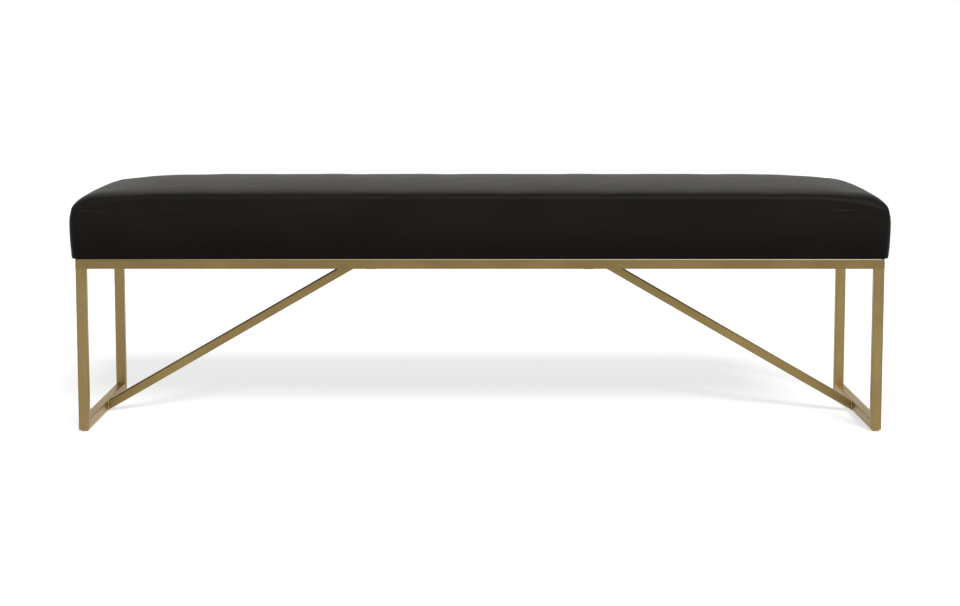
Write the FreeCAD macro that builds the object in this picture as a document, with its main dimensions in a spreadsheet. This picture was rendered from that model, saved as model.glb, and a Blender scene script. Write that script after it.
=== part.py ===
"""A long bench: a crowned leather seat on an open frame of square tube.

The origin lies on the floor under the middle of the bench. X runs along its length, Y from the
front to the back, Z upwards. All sizes are in millimetres.
"""
import FreeCAD
import Part

import math
import os

import Sketcher
from FreeCAD import Placement, Rotation, Vector

os.makedirs("parts", exist_ok=True)
doc = FreeCAD.newDocument("Bench")

# Driving sizes

SIZES = [
    ("frame_length", 1508, "over both end loops"),
    ("frame_depth", 441, "over the front and back rails"),
    ("frame_height", 323.4, "underside of the floor rails to the top of the frame"),
    ("tube_size", 19, "square tube of the frame"),
    ("tube_wall", 1.5, "wall of every tube"),
    ("tube_corner", 2, "outer corner radius of every tube"),
    ("cut_margin", 1, "cuts run on past the metal by this much"),
    ("brace_size", 17, "square tube of the braces"),
    ("brace_slope", 30, "degrees above the floor"),
    ("brace_low", 9.9, "brace axis at the floor rail, above the rail's underside"),
    ("cross_drop", 2.5, "top of the cross rails below the top of the frame"),
    ("tab_thickness", 3, "seat tab plate"),
    ("tab_width", 32, "seat tab, along the rail"),
    ("tab_reach", 36, "seat tab, inwards from the rail"),
    ("tab_corner", 6, "cut corners at the free end of a tab"),
    ("tab_spread", 620, "middle tab to end tab"),
    ("tab_count", 3, "tabs on each long rail"),
    ("screw_inset", 22, "screw axis, inwards from the rail's inner face"),
    ("screw_radius", 2.95, "seat screw shank"),
    ("screw_length", 20, "under the head"),
    ("screw_head_radius", 5.6, "pan head"),
    ("screw_head_height", 3.6, "pan head"),
    ("screw_hole_radius", 3.5, "clearance holes for the seat screws"),
    ("washer_radius", 6.5, "washer outside"),
    ("washer_bore", 3.2, "washer hole"),
    ("washer_thickness", 1.2, "washer"),
    ("nut_bore_radius", 3, "thread of the tee nuts and the bushes"),
    ("nut_barrel_radius", 3.95, "tee nut barrel"),
    ("nut_barrel_length", 10, "tee nut barrel, below its flange"),
    ("nut_flange_radius", 9.5, "tee nut flange"),
    ("nut_flange_thickness", 1.5, "tee nut flange"),
    ("nut_gap", 0.1, "deck holes around the tee nuts"),
    ("bush_radius", 5, "threaded bush outside"),
    ("bush_height", 14, "threaded bush"),
    ("weld_gap", 0.05, "hole in the rail around a bush"),
    ("foot_height", 3.3, "floor to the underside of the rails"),
    ("foot_radius", 7.6, "base of the levelling foot"),
    ("base_thickness", 2.1, "base of the levelling foot"),
    ("stud_gap", 0.04, "running clearance of the stud in its bush"),
    ("stud_length", 20, "above the base"),
    ("pad_inset", 1.2, "pad edge inside the base edge"),
    ("pad_spigot_radius", 5, "pad held in the base"),
    ("pad_spigot_height", 0.8, "pad held in the base"),
    ("pad_gap", 0.04, "socket around the pad's spigot"),
    ("chamfer", 0.7, "turned edges of the feet"),
    ("end_overhang", 10.5, "widest part of the cover beyond the frame, at each end"),
    ("side_overhang", 8, "widest part of the cover beyond the frame, at each side"),
    ("seat_height", 134.3, "top of the frame to the top of the crown"),
    ("seat_corner", 17, "upright corners of the seat"),
    ("seat_roll", 4, "lower edge radius of the seat"),
    ("seat_tuck", 3.2, "sides drawn in at the bottom"),
    ("belly_height", 60, "widest part of the seat above the frame"),
    ("end_run", 60, "shoulder at the ends, level part"),
    ("end_rise", 48.3, "shoulder at the ends, upright part"),
    ("end_crown", 7.4, "crown above the end shoulders"),
    ("side_run", 24, "shoulder along the sides, level part"),
    ("side_rise", 22, "shoulder along the sides, upright part"),
    ("side_crown", 4, "crown above the side shoulders"),
    ("corner_growth", 3, "upright corners open out towards the crown"),
    ("roundest_corner", 90, "upright corners where the crown starts"),
    ("leather_thickness", 1.3, "seat cover"),
    ("wadding_thickness", 8, "between foam and leather"),
    ("soft_gap", 0.3, "between one soft layer and the next"),
    ("turn_in", 38, "cover folded under the deck"),
    ("deck_thickness", 15, "plywood"),
    ("dust_thickness", 0.5, "dust cover cloth"),
    ("dust_gap", 2, "dust cover inside the top rails"),
    ("staple_crown", 10, "staple width"),
    ("staple_wire", 0.5, "staple wire thickness"),
    ("staple_band", 1.2, "staple wire width"),
    ("staple_leg", 9, "staple legs"),
    ("cover_staple_inset", 5.5, "cover staples inside the top rails"),
    ("dust_staple_inset", 11, "dust cover staples inside the top rails"),
    ("cover_staple_count_long", 25, "along each long side"),
    ("cover_staple_count_short", 7, "along each end"),
    ("dust_staple_count_long", 14, "along each long side"),
    ("dust_staple_count_short", 4, "along each end"),
    ("staple_margin", 45, "last staple from the corner"),
]

sheet = doc.addObject("Spreadsheet::Sheet", "Sizes")
for row, (alias, number, note) in enumerate(SIZES, start=1):
    sheet.set("A%d" % row, alias)
    sheet.set("B%d" % row, str(number))
    sheet.set("C%d" % row, note)
    sheet.setAlias("B%d" % row, alias)
doc.recompute()

# Sizes that follow from them, as expressions

INNER_LENGTH = "(Sizes.frame_length / 2 - Sizes.tube_size)"
INNER_DEPTH = "(Sizes.frame_depth / 2 - Sizes.tube_size)"
TUBE_MIDDLE_X = "(Sizes.frame_length / 2 - Sizes.tube_size / 2)"
TUBE_MIDDLE_Y = "(Sizes.frame_depth / 2 - Sizes.tube_size / 2)"
FRAME_TOP = "(Sizes.foot_height + Sizes.frame_height)"
CROSS_MIDDLE = "(%s - Sizes.cross_drop - Sizes.tube_size / 2)" % FRAME_TOP
BRACE_START = "(Sizes.foot_height + Sizes.brace_low)"
BRACE_RUN = "((%s - %s) / tan(Sizes.brace_slope))" % (CROSS_MIDDLE, BRACE_START)
BRACE_END = "(%s - %s)" % (INNER_LENGTH, BRACE_RUN)
SEAT_HALF_LENGTH = "(Sizes.frame_length / 2 + Sizes.end_overhang)"
SEAT_HALF_DEPTH = "(Sizes.frame_depth / 2 + Sizes.side_overhang)"
SCREW_Y = "(%s - Sizes.screw_inset)" % INNER_DEPTH
DECK_BOTTOM = "(%s + Sizes.leather_thickness)" % FRAME_TOP
DECK_TOP = "(%s + Sizes.deck_thickness)" % DECK_BOTTOM
TAB_TOP = "(%s - Sizes.dust_thickness)" % FRAME_TOP


def number(expression):
    """Value of an expression on the sheet's sizes."""
    return float(sheet.evalExpression(expression.replace("Sizes.", "")))


# Modelling helpers

def originItem(body, role):
    """Origin plane or axis of a body."""
    return [item for item in body.Origin.OriginFeatures if item.Role == role][0]


def newBody(label, x="0", y="0", z="0", rotation=Rotation()):
    """Body with its label, its turn and a place that follows the sheet."""
    body = doc.addObject("PartDesign::Body", label)
    body.Label = label
    body.Placement = Placement(Vector(0, 0, 0), rotation)
    for axis, expression in (("x", x), ("y", y), ("z", z)):
        body.setExpression(".Placement.Base." + axis, expression)
    return body


def newSketch(body, role, offset=None):
    """Sketch on one of the body's own origin planes, shifted along the plane's normal."""
    sketch = body.newObject("Sketcher::SketchObject", body.Name + "_sketch")
    sketch.AttachmentSupport = [(originItem(body, role), "")]
    sketch.MapMode = "FlatFace"
    if offset:
        sketch.setExpression(".AttachmentOffset.Base.z", offset)
    return sketch


def pinPoint(sketch, geometry, point, x, y):
    """Ties one point of a sketch to two expressions."""
    for kind, axis, expression in (("DistanceX", -2, x), ("DistanceY", -1, y)):
        if abs(number(expression)) < 1e-9:
            sketch.addConstraint(Sketcher.Constraint("PointOnObject", geometry, point, axis))
            continue
        index = sketch.addConstraint(Sketcher.Constraint(kind, geometry, point, number(expression)))
        sketch.setExpression("Constraints[%d]" % index, expression)


def addPolygon(sketch, points):
    """Closed outline through points given as pairs of expressions."""
    corners = [Vector(number(x), number(y), 0) for x, y in points]
    first = sketch.GeometryCount
    count = len(points)
    for i in range(count):
        sketch.addGeometry(Part.LineSegment(corners[i], corners[(i + 1) % count]), False)
    for i in range(count):
        follower = first + (i + 1) % count
        sketch.addConstraint(Sketcher.Constraint("Coincident", first + i, 2, follower, 1))
    for i, (x, y) in enumerate(points):
        pinPoint(sketch, first + i, 1, x, y)


def addRectangle(sketch, low_x, low_y, high_x, high_y):
    """Upright rectangle between two corners."""
    addPolygon(sketch, [(low_x, low_y), (high_x, low_y), (high_x, high_y), (low_x, high_y)])


def addCircle(sketch, x, y, radius):
    """Circle with its centre and radius tied to expressions."""
    centre = Vector(number(x), number(y), 0)
    circle = sketch.addGeometry(Part.Circle(centre, Vector(0, 0, 1), number(radius)), False)
    pinPoint(sketch, circle, 3, x, y)
    index = sketch.addConstraint(Sketcher.Constraint("Radius", circle, number(radius)))
    sketch.setExpression("Constraints[%d]" % index, radius)


def addPad(body, sketch, length, symmetric=False):
    """Pad of a sketch along its normal, or half to each side of it."""
    pad = body.newObject("PartDesign::Pad", body.Name + "_pad")
    pad.Profile = sketch
    pad.SideType = "Symmetric" if symmetric else "One side"
    pad.setExpression("Length", length)
    doc.recompute()
    return pad


def addPocket(body, sketch, length, symmetric=True, reverse=False):
    """Pocket of a sketch, which has to take something away."""
    before = body.Shape.Volume
    pocket = body.newObject("PartDesign::Pocket", body.Name + "_pocket")
    pocket.Profile = sketch
    pocket.SideType = "Symmetric" if symmetric else "One side"
    pocket.Reversed = reverse
    pocket.setExpression("Length", length)
    doc.recompute()
    if body.Shape.Volume >= before:
        raise RuntimeError("the pocket in %s takes nothing away" % body.Label)
    return pocket


def addRevolution(body, points):
    """Solid of revolution about the body's upright axis, from an outline of radius and height."""
    sketch = newSketch(body, "XZ_Plane")
    addPolygon(sketch, points)
    turned = body.newObject("PartDesign::Revolution", body.Name + "_turned")
    turned.Profile = sketch
    turned.ReferenceAxis = (sketch, ["V_Axis"])
    turned.Angle = 360
    doc.recompute()
    return turned


def addFillet(body, feature, radius, chosen):
    """Fillet on the edges of a feature that a test picks out."""
    names = ["Edge%d" % i for i, edge in enumerate(feature.Shape.Edges, start=1) if chosen(edge)]
    fillet = body.newObject("PartDesign::Fillet", body.Name + "_fillet")
    fillet.Base = (feature, names)
    fillet.setExpression("Radius", radius)
    doc.recompute()
    return fillet


def runsAlong(direction):
    """Test for straight edges that run along a direction."""
    def chosen(edge):
        return abs(edge.tangentAt(edge.FirstParameter).dot(direction)) > 0.999
    return chosen


def addGrid(body, features, spans, mirror_role=None):
    """Repeats features: spans holds (axis role, length, count), and a mirror may follow them."""
    grid = body.newObject("PartDesign::MultiTransform", body.Name + "_grid")
    grid.Originals = features
    patterns = []
    for role, length, count in spans:
        pattern = body.newObject("PartDesign::LinearPattern", body.Name + "_pattern")
        pattern.Direction = (originItem(body, role), [""])
        pattern.setExpression("Length", length)
        pattern.setExpression("Occurrences", count)
        patterns.append(pattern)
    if mirror_role:
        mirror = body.newObject("PartDesign::Mirrored", body.Name + "_mirror")
        mirror.MirrorPlane = (originItem(body, mirror_role), [""])
        patterns.append(mirror)
    grid.Transformations = patterns
    body.Tip = grid
    doc.recompute()


# Square tube

TUBE_PLANES = {"X": "YZ_Plane", "Y": "XZ_Plane", "Z": "XY_Plane"}
TUBE_DIRECTIONS = {"X": Vector(1, 0, 0), "Y": Vector(0, 1, 0), "Z": Vector(0, 0, 1)}
CUT_MARGIN = "Sizes.cut_margin"


def addTube(body, axis, length, symmetric):
    """Hollow square tube with rounded edges, along one axis of the body."""
    half = "(Sizes.tube_size / 2)"
    bore = "(Sizes.tube_size / 2 - Sizes.tube_wall)"
    outside = newSketch(body, TUBE_PLANES[axis])
    addRectangle(outside, "-" + half, "-" + half, half, half)
    pad = addPad(body, outside, length, symmetric)
    addFillet(body, pad, "Sizes.tube_corner", runsAlong(TUBE_DIRECTIONS[axis]))
    inside = newSketch(body, TUBE_PLANES[axis])
    addRectangle(inside, "-" + bore, "-" + bore, bore, bore)
    addPocket(body, inside, "2 * %s + 2 * %s" % (length, CUT_MARGIN))


def addMitre(body, end, length):
    """Cuts one end of a tube along X at 45 degrees, with its long side at the body's -Y."""
    tip = "(%s / 2)" % length
    half = "(Sizes.tube_size / 2)"
    inner = "(%s - Sizes.tube_size - %s)" % (tip, CUT_MARGIN)
    outer = "(%s + %s)" % (tip, CUT_MARGIN)
    high = "(%s + %s)" % (half, CUT_MARGIN)
    sign = "-" if end < 0 else ""
    sketch = newSketch(body, "XY_Plane")
    addPolygon(sketch, [(sign + inner, high), (sign + outer, "-" + high), (sign + outer, high)])
    addPocket(body, sketch, "2 * Sizes.tube_size")


def mitredRail(label, length, x, y, z, rotation):
    """Rail whose two ends meet their neighbours in mitres."""
    body = newBody(label, x, y, z, rotation)
    addTube(body, "X", length, True)
    for end in (-1, 1):
        addMitre(body, end, length)
    return body


def topFrame():
    """Four rails mitred into the rectangle under the seat, and two cross rails inside it."""
    height = "%s - Sizes.tube_size / 2" % FRAME_TOP
    about_z = Vector(0, 0, 1)
    mitredRail("top_rail_front", "Sizes.frame_length", "0", "-" + TUBE_MIDDLE_Y, height,
               Rotation(about_z, 0))
    mitredRail("top_rail_back", "Sizes.frame_length", "0", TUBE_MIDDLE_Y, height,
               Rotation(about_z, 180))
    mitredRail("top_rail_left", "Sizes.frame_depth", "-" + TUBE_MIDDLE_X, "0", height,
               Rotation(about_z, -90))
    mitredRail("top_rail_right", "Sizes.frame_depth", TUBE_MIDDLE_X, "0", height,
               Rotation(about_z, 90))
    for label, sign in (("cross_rail_left", "-"), ("cross_rail_right", "")):
        middle = "%s(%s - Sizes.tube_size / 2)" % (sign, BRACE_END)
        body = newBody(label, middle, "0", CROSS_MIDDLE)
        addTube(body, "Y", "2 * %s" % INNER_DEPTH, True)


def leg(label, side_x, side_y):
    """Upright tube under a corner of the top frame, mitred at its foot to the floor rail."""
    x = ("-" if side_x < 0 else "") + TUBE_MIDDLE_X
    y = ("-" if side_y < 0 else "") + TUBE_MIDDLE_Y
    turn = 0 if side_y < 0 else 180
    body = newBody(label, x, y, "Sizes.foot_height", Rotation(Vector(0, 0, 1), turn))
    addTube(body, "Z", "(Sizes.frame_height - Sizes.tube_size)", False)
    half = "(Sizes.tube_size / 2 + %s)" % CUT_MARGIN
    top = "(Sizes.tube_size + %s)" % CUT_MARGIN
    sketch = newSketch(body, "YZ_Plane")
    addPolygon(sketch, [("-" + half, "-" + CUT_MARGIN), (half, "-" + CUT_MARGIN), (half, top)])
    addPocket(body, sketch, "2 * Sizes.tube_size")


def floorRail(label, side_x):
    """Rail along the floor between two legs, with a hole for a bush under each leg."""
    x = ("-" if side_x < 0 else "") + TUBE_MIDDLE_X
    z = "Sizes.foot_height + Sizes.tube_size / 2"
    along_y_long_side_down = Rotation(Vector(1, 1, 1), 120)
    body = mitredRail(label, "Sizes.frame_depth", x, "0", z, along_y_long_side_down)
    sketch = newSketch(body, "XZ_Plane")
    for sign in ("-", ""):
        addCircle(sketch, sign + TUBE_MIDDLE_Y, "0", "Sizes.bush_radius + Sizes.weld_gap")
    addPocket(body, sketch, "Sizes.tube_size", symmetric=False, reverse=True)


def brace(label, turn):
    """Sloping tube from the floor rail to the cross rail, cut upright at both ends."""
    body = newBody(label, rotation=Rotation(Vector(0, 0, 1), turn))
    low_x = "-" + INNER_LENGTH
    high_x = "-" + BRACE_END
    half = "(Sizes.brace_size / 2 / cos(Sizes.brace_slope))"
    bore = "((Sizes.brace_size / 2 - Sizes.tube_wall) / cos(Sizes.brace_slope))"
    over_z = "(%s * tan(Sizes.brace_slope))" % CUT_MARGIN
    outside = newSketch(body, "XZ_Plane")
    addPolygon(outside, [
        (low_x, "%s - %s" % (BRACE_START, half)),
        (high_x, "%s - %s" % (CROSS_MIDDLE, half)),
        (high_x, "%s + %s" % (CROSS_MIDDLE, half)),
        (low_x, "%s + %s" % (BRACE_START, half)),
    ])
    pad = addPad(body, outside, "Sizes.brace_size", True)
    slope = math.radians(number("Sizes.brace_slope"))
    addFillet(body, pad, "Sizes.tube_corner", runsAlong(Vector(math.cos(slope), 0, math.sin(slope))))
    inside = newSketch(body, "XZ_Plane")
    addPolygon(inside, [
        ("%s - %s" % (low_x, CUT_MARGIN), "%s - %s - %s" % (BRACE_START, over_z, bore)),
        ("%s + %s" % (high_x, CUT_MARGIN), "%s + %s - %s" % (CROSS_MIDDLE, over_z, bore)),
        ("%s + %s" % (high_x, CUT_MARGIN), "%s + %s + %s" % (CROSS_MIDDLE, over_z, bore)),
        ("%s - %s" % (low_x, CUT_MARGIN), "%s - %s + %s" % (BRACE_START, over_z, bore)),
    ])
    addPocket(body, inside, "Sizes.brace_size - 2 * Sizes.tube_wall")


# Fittings of the frame

def seatTabs():
    """Flat ears inside the long top rails, each with a hole for a seat screw."""
    body = newBody("seat_tabs", z="%s - Sizes.tab_thickness" % TAB_TOP)
    edge = "(-%s)" % INNER_DEPTH
    low = "(-Sizes.tab_spread - Sizes.tab_width / 2)"
    high = "(-Sizes.tab_spread + Sizes.tab_width / 2)"
    free = "(%s + Sizes.tab_reach)" % edge
    shoulder = "(%s - Sizes.tab_corner)" % free
    sketch = newSketch(body, "XY_Plane")
    addPolygon(sketch, [
        (low, edge),
        (high, edge),
        (high, shoulder),
        ("%s - Sizes.tab_corner" % high, free),
        ("%s + Sizes.tab_corner" % low, free),
        (low, shoulder),
    ])
    addCircle(sketch, "-Sizes.tab_spread", "-" + SCREW_Y, "Sizes.screw_hole_radius")
    pad = addPad(body, sketch, "Sizes.tab_thickness")
    addGrid(body, [pad], [("X_Axis", "2 * Sizes.tab_spread", "Sizes.tab_count")], "XZ_Plane")


def legBushes():
    """Threaded bushes welded flush into the undersides of the floor rails."""
    body = newBody("leg_bushes", "-" + TUBE_MIDDLE_X, "-" + TUBE_MIDDLE_Y, "Sizes.foot_height")
    sketch = newSketch(body, "XY_Plane")
    addCircle(sketch, "0", "0", "Sizes.bush_radius")
    addCircle(sketch, "0", "0", "Sizes.nut_bore_radius")
    pad = addPad(body, sketch, "Sizes.bush_height")
    addGrid(body, [pad], [("X_Axis", "2 * " + TUBE_MIDDLE_X, "2"), ("Y_Axis", "2 * " + TUBE_MIDDLE_Y, "2")])


CORNERS = [
    ("front_left", -1, -1),
    ("front_right", 1, -1),
    ("back_left", -1, 1),
    ("back_right", 1, 1),
]


def levellingFoot(corner, side_x, side_y):
    """Round base with a threaded stud, and the pad that is pressed into the base from below."""
    x = ("-" if side_x < 0 else "") + TUBE_MIDDLE_X
    y = ("-" if side_y < 0 else "") + TUBE_MIDDLE_Y
    stud = "(Sizes.nut_bore_radius - Sizes.stud_gap)"
    socket = "(Sizes.pad_spigot_radius + Sizes.pad_gap)"
    socket_top = "(-Sizes.base_thickness + Sizes.pad_spigot_height)"
    base = newBody("foot_base_" + corner, x, y, "Sizes.foot_height")
    addRevolution(base, [
        ("0", "Sizes.stud_length"),
        ("%s - Sizes.chamfer" % stud, "Sizes.stud_length"),
        (stud, "Sizes.stud_length - Sizes.chamfer"),
        (stud, "0"),
        ("Sizes.foot_radius", "0"),
        ("Sizes.foot_radius", "-Sizes.base_thickness + Sizes.chamfer"),
        ("Sizes.foot_radius - Sizes.chamfer", "-Sizes.base_thickness"),
        (socket, "-Sizes.base_thickness"),
        (socket, socket_top),
        ("0", socket_top),
    ])
    rim = "(Sizes.foot_radius - Sizes.pad_inset)"
    pad = newBody("foot_pad_" + corner, x, y, "0")
    base_height = "(Sizes.foot_height - Sizes.base_thickness)"
    addRevolution(pad, [
        ("0", "%s + Sizes.pad_spigot_height" % base_height),
        ("Sizes.pad_spigot_radius", "%s + Sizes.pad_spigot_height" % base_height),
        ("Sizes.pad_spigot_radius", base_height),
        (rim, base_height),
        (rim, "Sizes.chamfer"),
        ("%s - Sizes.chamfer" % rim, "0"),
        ("0", "0"),
    ])


def seatScrews():
    """Pan-head screws and washers under the tabs."""
    washer_bottom = "%s - Sizes.tab_thickness - Sizes.washer_thickness" % TAB_TOP
    spans = [("X_Axis", "2 * Sizes.tab_spread", "Sizes.tab_count"), ("Y_Axis", "2 * " + SCREW_Y, "2")]
    screws = newBody("seat_screws", "-Sizes.tab_spread", "-" + SCREW_Y, washer_bottom)
    turned = addRevolution(screws, [
        ("0", "-Sizes.screw_head_height"),
        ("Sizes.screw_head_radius - Sizes.chamfer", "-Sizes.screw_head_height"),
        ("Sizes.screw_head_radius", "-Sizes.screw_head_height + Sizes.chamfer"),
        ("Sizes.screw_head_radius", "0"),
        ("Sizes.screw_radius", "0"),
        ("Sizes.screw_radius", "Sizes.screw_length"),
        ("0", "Sizes.screw_length"),
    ])
    addGrid(screws, [turned], spans)
    washers = newBody("seat_washers", "-Sizes.tab_spread", "-" + SCREW_Y, washer_bottom)
    sketch = newSketch(washers, "XY_Plane")
    addCircle(sketch, "0", "0", "Sizes.washer_radius")
    addCircle(sketch, "0", "0", "Sizes.washer_bore")
    pad = addPad(washers, sketch, "Sizes.washer_thickness")
    addGrid(washers, [pad], spans)


# Seat

COVER_BASE_LENGTH = "(%s - Sizes.seat_tuck)" % SEAT_HALF_LENGTH
COVER_BASE_DEPTH = "(%s - Sizes.seat_tuck)" % SEAT_HALF_DEPTH


def seatDeck():
    """Plywood panel with rounded corners, screw holes and seats for the tee nuts."""
    body = newBody("seat_deck", z=DECK_BOTTOM)
    inset = "(Sizes.leather_thickness + Sizes.soft_gap)"
    half_x = "(%s - %s)" % (COVER_BASE_LENGTH, inset)
    half_y = "(%s - %s)" % (COVER_BASE_DEPTH, inset)
    outline = newSketch(body, "XY_Plane")
    addRectangle(outline, "-" + half_x, "-" + half_y, half_x, half_y)
    panel = addPad(body, outline, "Sizes.deck_thickness")
    corners = addFillet(body, panel, "Sizes.seat_corner", runsAlong(Vector(0, 0, 1)))

    def lowerEdge(edge):
        return edge.BoundBox.ZMax < 1e-6

    addFillet(body, corners, "Sizes.seat_roll", lowerEdge)
    screws = newSketch(body, "XY_Plane")
    seats = newSketch(body, "XY_Plane", "Sizes.deck_thickness")
    for x in ("-Sizes.tab_spread", "0", "Sizes.tab_spread"):
        for y in ("-" + SCREW_Y, SCREW_Y):
            addCircle(screws, x, y, "Sizes.nut_barrel_radius + Sizes.nut_gap")
            addCircle(seats, x, y, "Sizes.nut_flange_radius + Sizes.nut_gap")
    addPocket(body, screws, "3 * Sizes.deck_thickness")
    addPocket(body, seats, "Sizes.nut_flange_thickness + Sizes.nut_gap", symmetric=False)


def teeNuts():
    """Tee nuts let into the top of the deck from above."""
    body = newBody("tee_nuts", "-Sizes.tab_spread", "-" + SCREW_Y,
                   "%s - Sizes.nut_gap - Sizes.nut_flange_thickness" % DECK_TOP)
    turned = addRevolution(body, [
        ("Sizes.nut_bore_radius", "Sizes.nut_flange_thickness"),
        ("Sizes.nut_flange_radius", "Sizes.nut_flange_thickness"),
        ("Sizes.nut_flange_radius", "0"),
        ("Sizes.nut_barrel_radius", "0"),
        ("Sizes.nut_barrel_radius", "-Sizes.nut_barrel_length"),
        ("Sizes.nut_bore_radius", "-Sizes.nut_barrel_length"),
    ])
    addGrid(body, [turned], [
        ("X_Axis", "2 * Sizes.tab_spread", "Sizes.tab_count"),
        ("Y_Axis", "2 * " + SCREW_Y, "2"),
    ])


def dustCover():
    """Cloth under the seat, inside the top rails, with holes for the screws."""
    body = newBody("dust_cover", z="%s - Sizes.dust_thickness" % FRAME_TOP)
    half_x = "(%s - Sizes.dust_gap)" % INNER_LENGTH
    half_y = "(%s - Sizes.dust_gap)" % INNER_DEPTH
    sketch = newSketch(body, "XY_Plane")
    addRectangle(sketch, "-" + half_x, "-" + half_y, half_x, half_y)
    for x in ("-Sizes.tab_spread", "0", "Sizes.tab_spread"):
        for y in ("-" + SCREW_Y, SCREW_Y):
            addCircle(sketch, x, y, "Sizes.screw_hole_radius")
    addPad(body, sketch, "Sizes.dust_thickness")


def stapleSide(body, role, along, across, count):
    """Row of staples along one side, and its mirror image on the other side."""
    reach = "(%s - Sizes.staple_margin)" % along
    low = "(-%s - Sizes.staple_crown / 2)" % reach
    high = "(-%s + Sizes.staple_crown / 2)" % reach
    shift = {"XZ_Plane": across, "YZ_Plane": "-" + across}[role]
    sketch = newSketch(body, role, shift)
    addPolygon(sketch, [
        (low, "0"),
        (high, "0"),
        (high, "Sizes.staple_leg"),
        ("%s - Sizes.staple_wire" % high, "Sizes.staple_leg"),
        ("%s - Sizes.staple_wire" % high, "Sizes.staple_wire"),
        ("%s + Sizes.staple_wire" % low, "Sizes.staple_wire"),
        ("%s + Sizes.staple_wire" % low, "Sizes.staple_leg"),
        (low, "Sizes.staple_leg"),
    ])
    pad = addPad(body, sketch, "Sizes.staple_band", True)
    axis = {"XZ_Plane": "X_Axis", "YZ_Plane": "Y_Axis"}[role]
    addGrid(body, [pad], [(axis, "2 * %s" % reach, count)], role)


def staples(label, height, inset, count_long, count_short):
    """Staples around the underside of the seat, driven up into the deck."""
    body = newBody(label, z=height)
    stapleSide(body, "XZ_Plane", INNER_LENGTH, "(%s - %s)" % (INNER_DEPTH, inset), count_long)
    stapleSide(body, "YZ_Plane", INNER_DEPTH, "(%s - %s)" % (INNER_LENGTH, inset), count_short)


def halfWidth(height, half, run, rise, crown, power, top):
    """Half the seat's width at a height: drawn in below, round at the shoulder, crowned above."""
    belly = number("Sizes.belly_height")
    shoulder = top - crown - rise
    if height > shoulder + rise:
        return (half - run) * (max(top - height, 0) / crown) ** (1 / power)
    if height > shoulder:
        return half - run * (1 - math.sqrt(max(1 - ((height - shoulder) / rise) ** 2, 0)))
    return half - number("Sizes.seat_tuck") * (max(belly - height, 0) / belly) ** 2


def seatRing(height, half_x, half_y, corner):
    """Level outline of the seat: a rectangle with rounded corners."""
    quarter = corner * math.sqrt(0.5)
    edges = []
    for turn in range(4):
        a, b = (half_x, half_y) if turn % 2 == 0 else (half_y, half_x)
        start = Vector(a, -(b - corner), 0)
        end = Vector(a, b - corner, 0)
        middle = Vector(a - corner + quarter, b - corner + quarter, 0)
        after = Vector(a - corner, b, 0)
        pieces = [Part.LineSegment(start, end).toShape(), Part.Arc(end, middle, after).toShape()]
        for piece in pieces:
            piece.rotate(Vector(0, 0, 0), Vector(0, 0, 1), 90 * turn)
            piece.translate(Vector(0, 0, height))
            edges.append(piece)
    return Part.Wire(edges)


SHOULDER_ANGLES = (12, 24, 36, 48, 60, 72)
CROWN_SHARES = (1, 0.92, 0.84, 0.74, 0.62, 0.48, 0.35)
ROUNDEST_SHARE = 0.8
END_POWER = 4.4
SIDE_POWER = 2


def seatRings(inset, base, rolled):
    """Level outlines of the seat, a given depth inside the cover's outside, from a base upwards."""
    half_x = number(SEAT_HALF_LENGTH) - inset
    half_y = number(SEAT_HALF_DEPTH) - inset
    top = number("Sizes.seat_height") - inset
    end = [number("Sizes.end_run") - inset, number("Sizes.end_rise") - inset,
           number("Sizes.end_crown"), END_POWER]
    side = [number("Sizes.side_run") - inset, number("Sizes.side_rise") - inset,
            number("Sizes.side_crown"), SIDE_POWER]
    corner = number("Sizes.seat_corner") - inset
    shoulder = top - end[1] - end[2]
    roll = max(number("Sizes.seat_roll") - inset, 0) if rolled else 0
    belly = number("Sizes.belly_height")
    heights = [base]
    if rolled:
        heights += [base + roll * (1 - math.cos(math.radians(turn))) for turn in (45, 90)]
    heights += [(base + belly) / 2, belly, shoulder]
    heights += [shoulder + end[1] * math.sin(math.radians(angle)) for angle in SHOULDER_ANGLES]
    heights += [top - end[2] * share ** END_POWER for share in CROWN_SHARES]
    rings = []
    for height in heights:
        drawn = 0
        if height < base + roll:
            drawn = roll - math.sqrt(roll ** 2 - (roll - (height - base)) ** 2)
        ring_x = halfWidth(height, half_x, *end, top) - drawn
        ring_y = halfWidth(height, half_y, *side, top) - drawn
        radius = corner - drawn
        if height > shoulder:
            radius += number("Sizes.corner_growth") * (half_x - ring_x)
        radius = min(radius, number("Sizes.roundest_corner"), ROUNDEST_SHARE * min(ring_x, ring_y))
        rings.append(seatRing(height + number(FRAME_TOP), ring_x, ring_y, radius))
    return rings


def seatForm(inset, base, rolled):
    """Closed form through the outlines."""
    return Part.makeLoft(seatRings(inset, base, rolled), True, True)


def addShape(label, shape):
    """Document object that holds a free-form shape."""
    feature = doc.addObject("Part::Feature", label)
    feature.Label = label
    feature.Shape = shape
    return feature


def softSeat():
    """Leather cover, wadding and foam, one inside the other, over the deck."""
    leather = number("Sizes.leather_thickness")
    gap = number("Sizes.soft_gap")
    deck_top = leather + number("Sizes.deck_thickness") + gap
    window_x = number(COVER_BASE_LENGTH) - number("Sizes.turn_in")
    window_y = number(COVER_BASE_DEPTH) - number("Sizes.turn_in")
    window = Part.makeBox(2 * window_x, 2 * window_y, 2 * leather,
                          Vector(-window_x, -window_y, number(FRAME_TOP) - leather / 2))
    outside = seatForm(0, 0, True)
    addShape("seat_cover", outside.cut(seatForm(leather, leather, True)).cut(window))
    core_inset = leather + gap + number("Sizes.wadding_thickness")
    hollow = seatForm(core_inset, deck_top, False)
    addShape("wadding", seatForm(leather + gap, deck_top, False).cut(hollow))
    addShape("foam_core", seatForm(core_inset + gap, deck_top, False))


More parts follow.
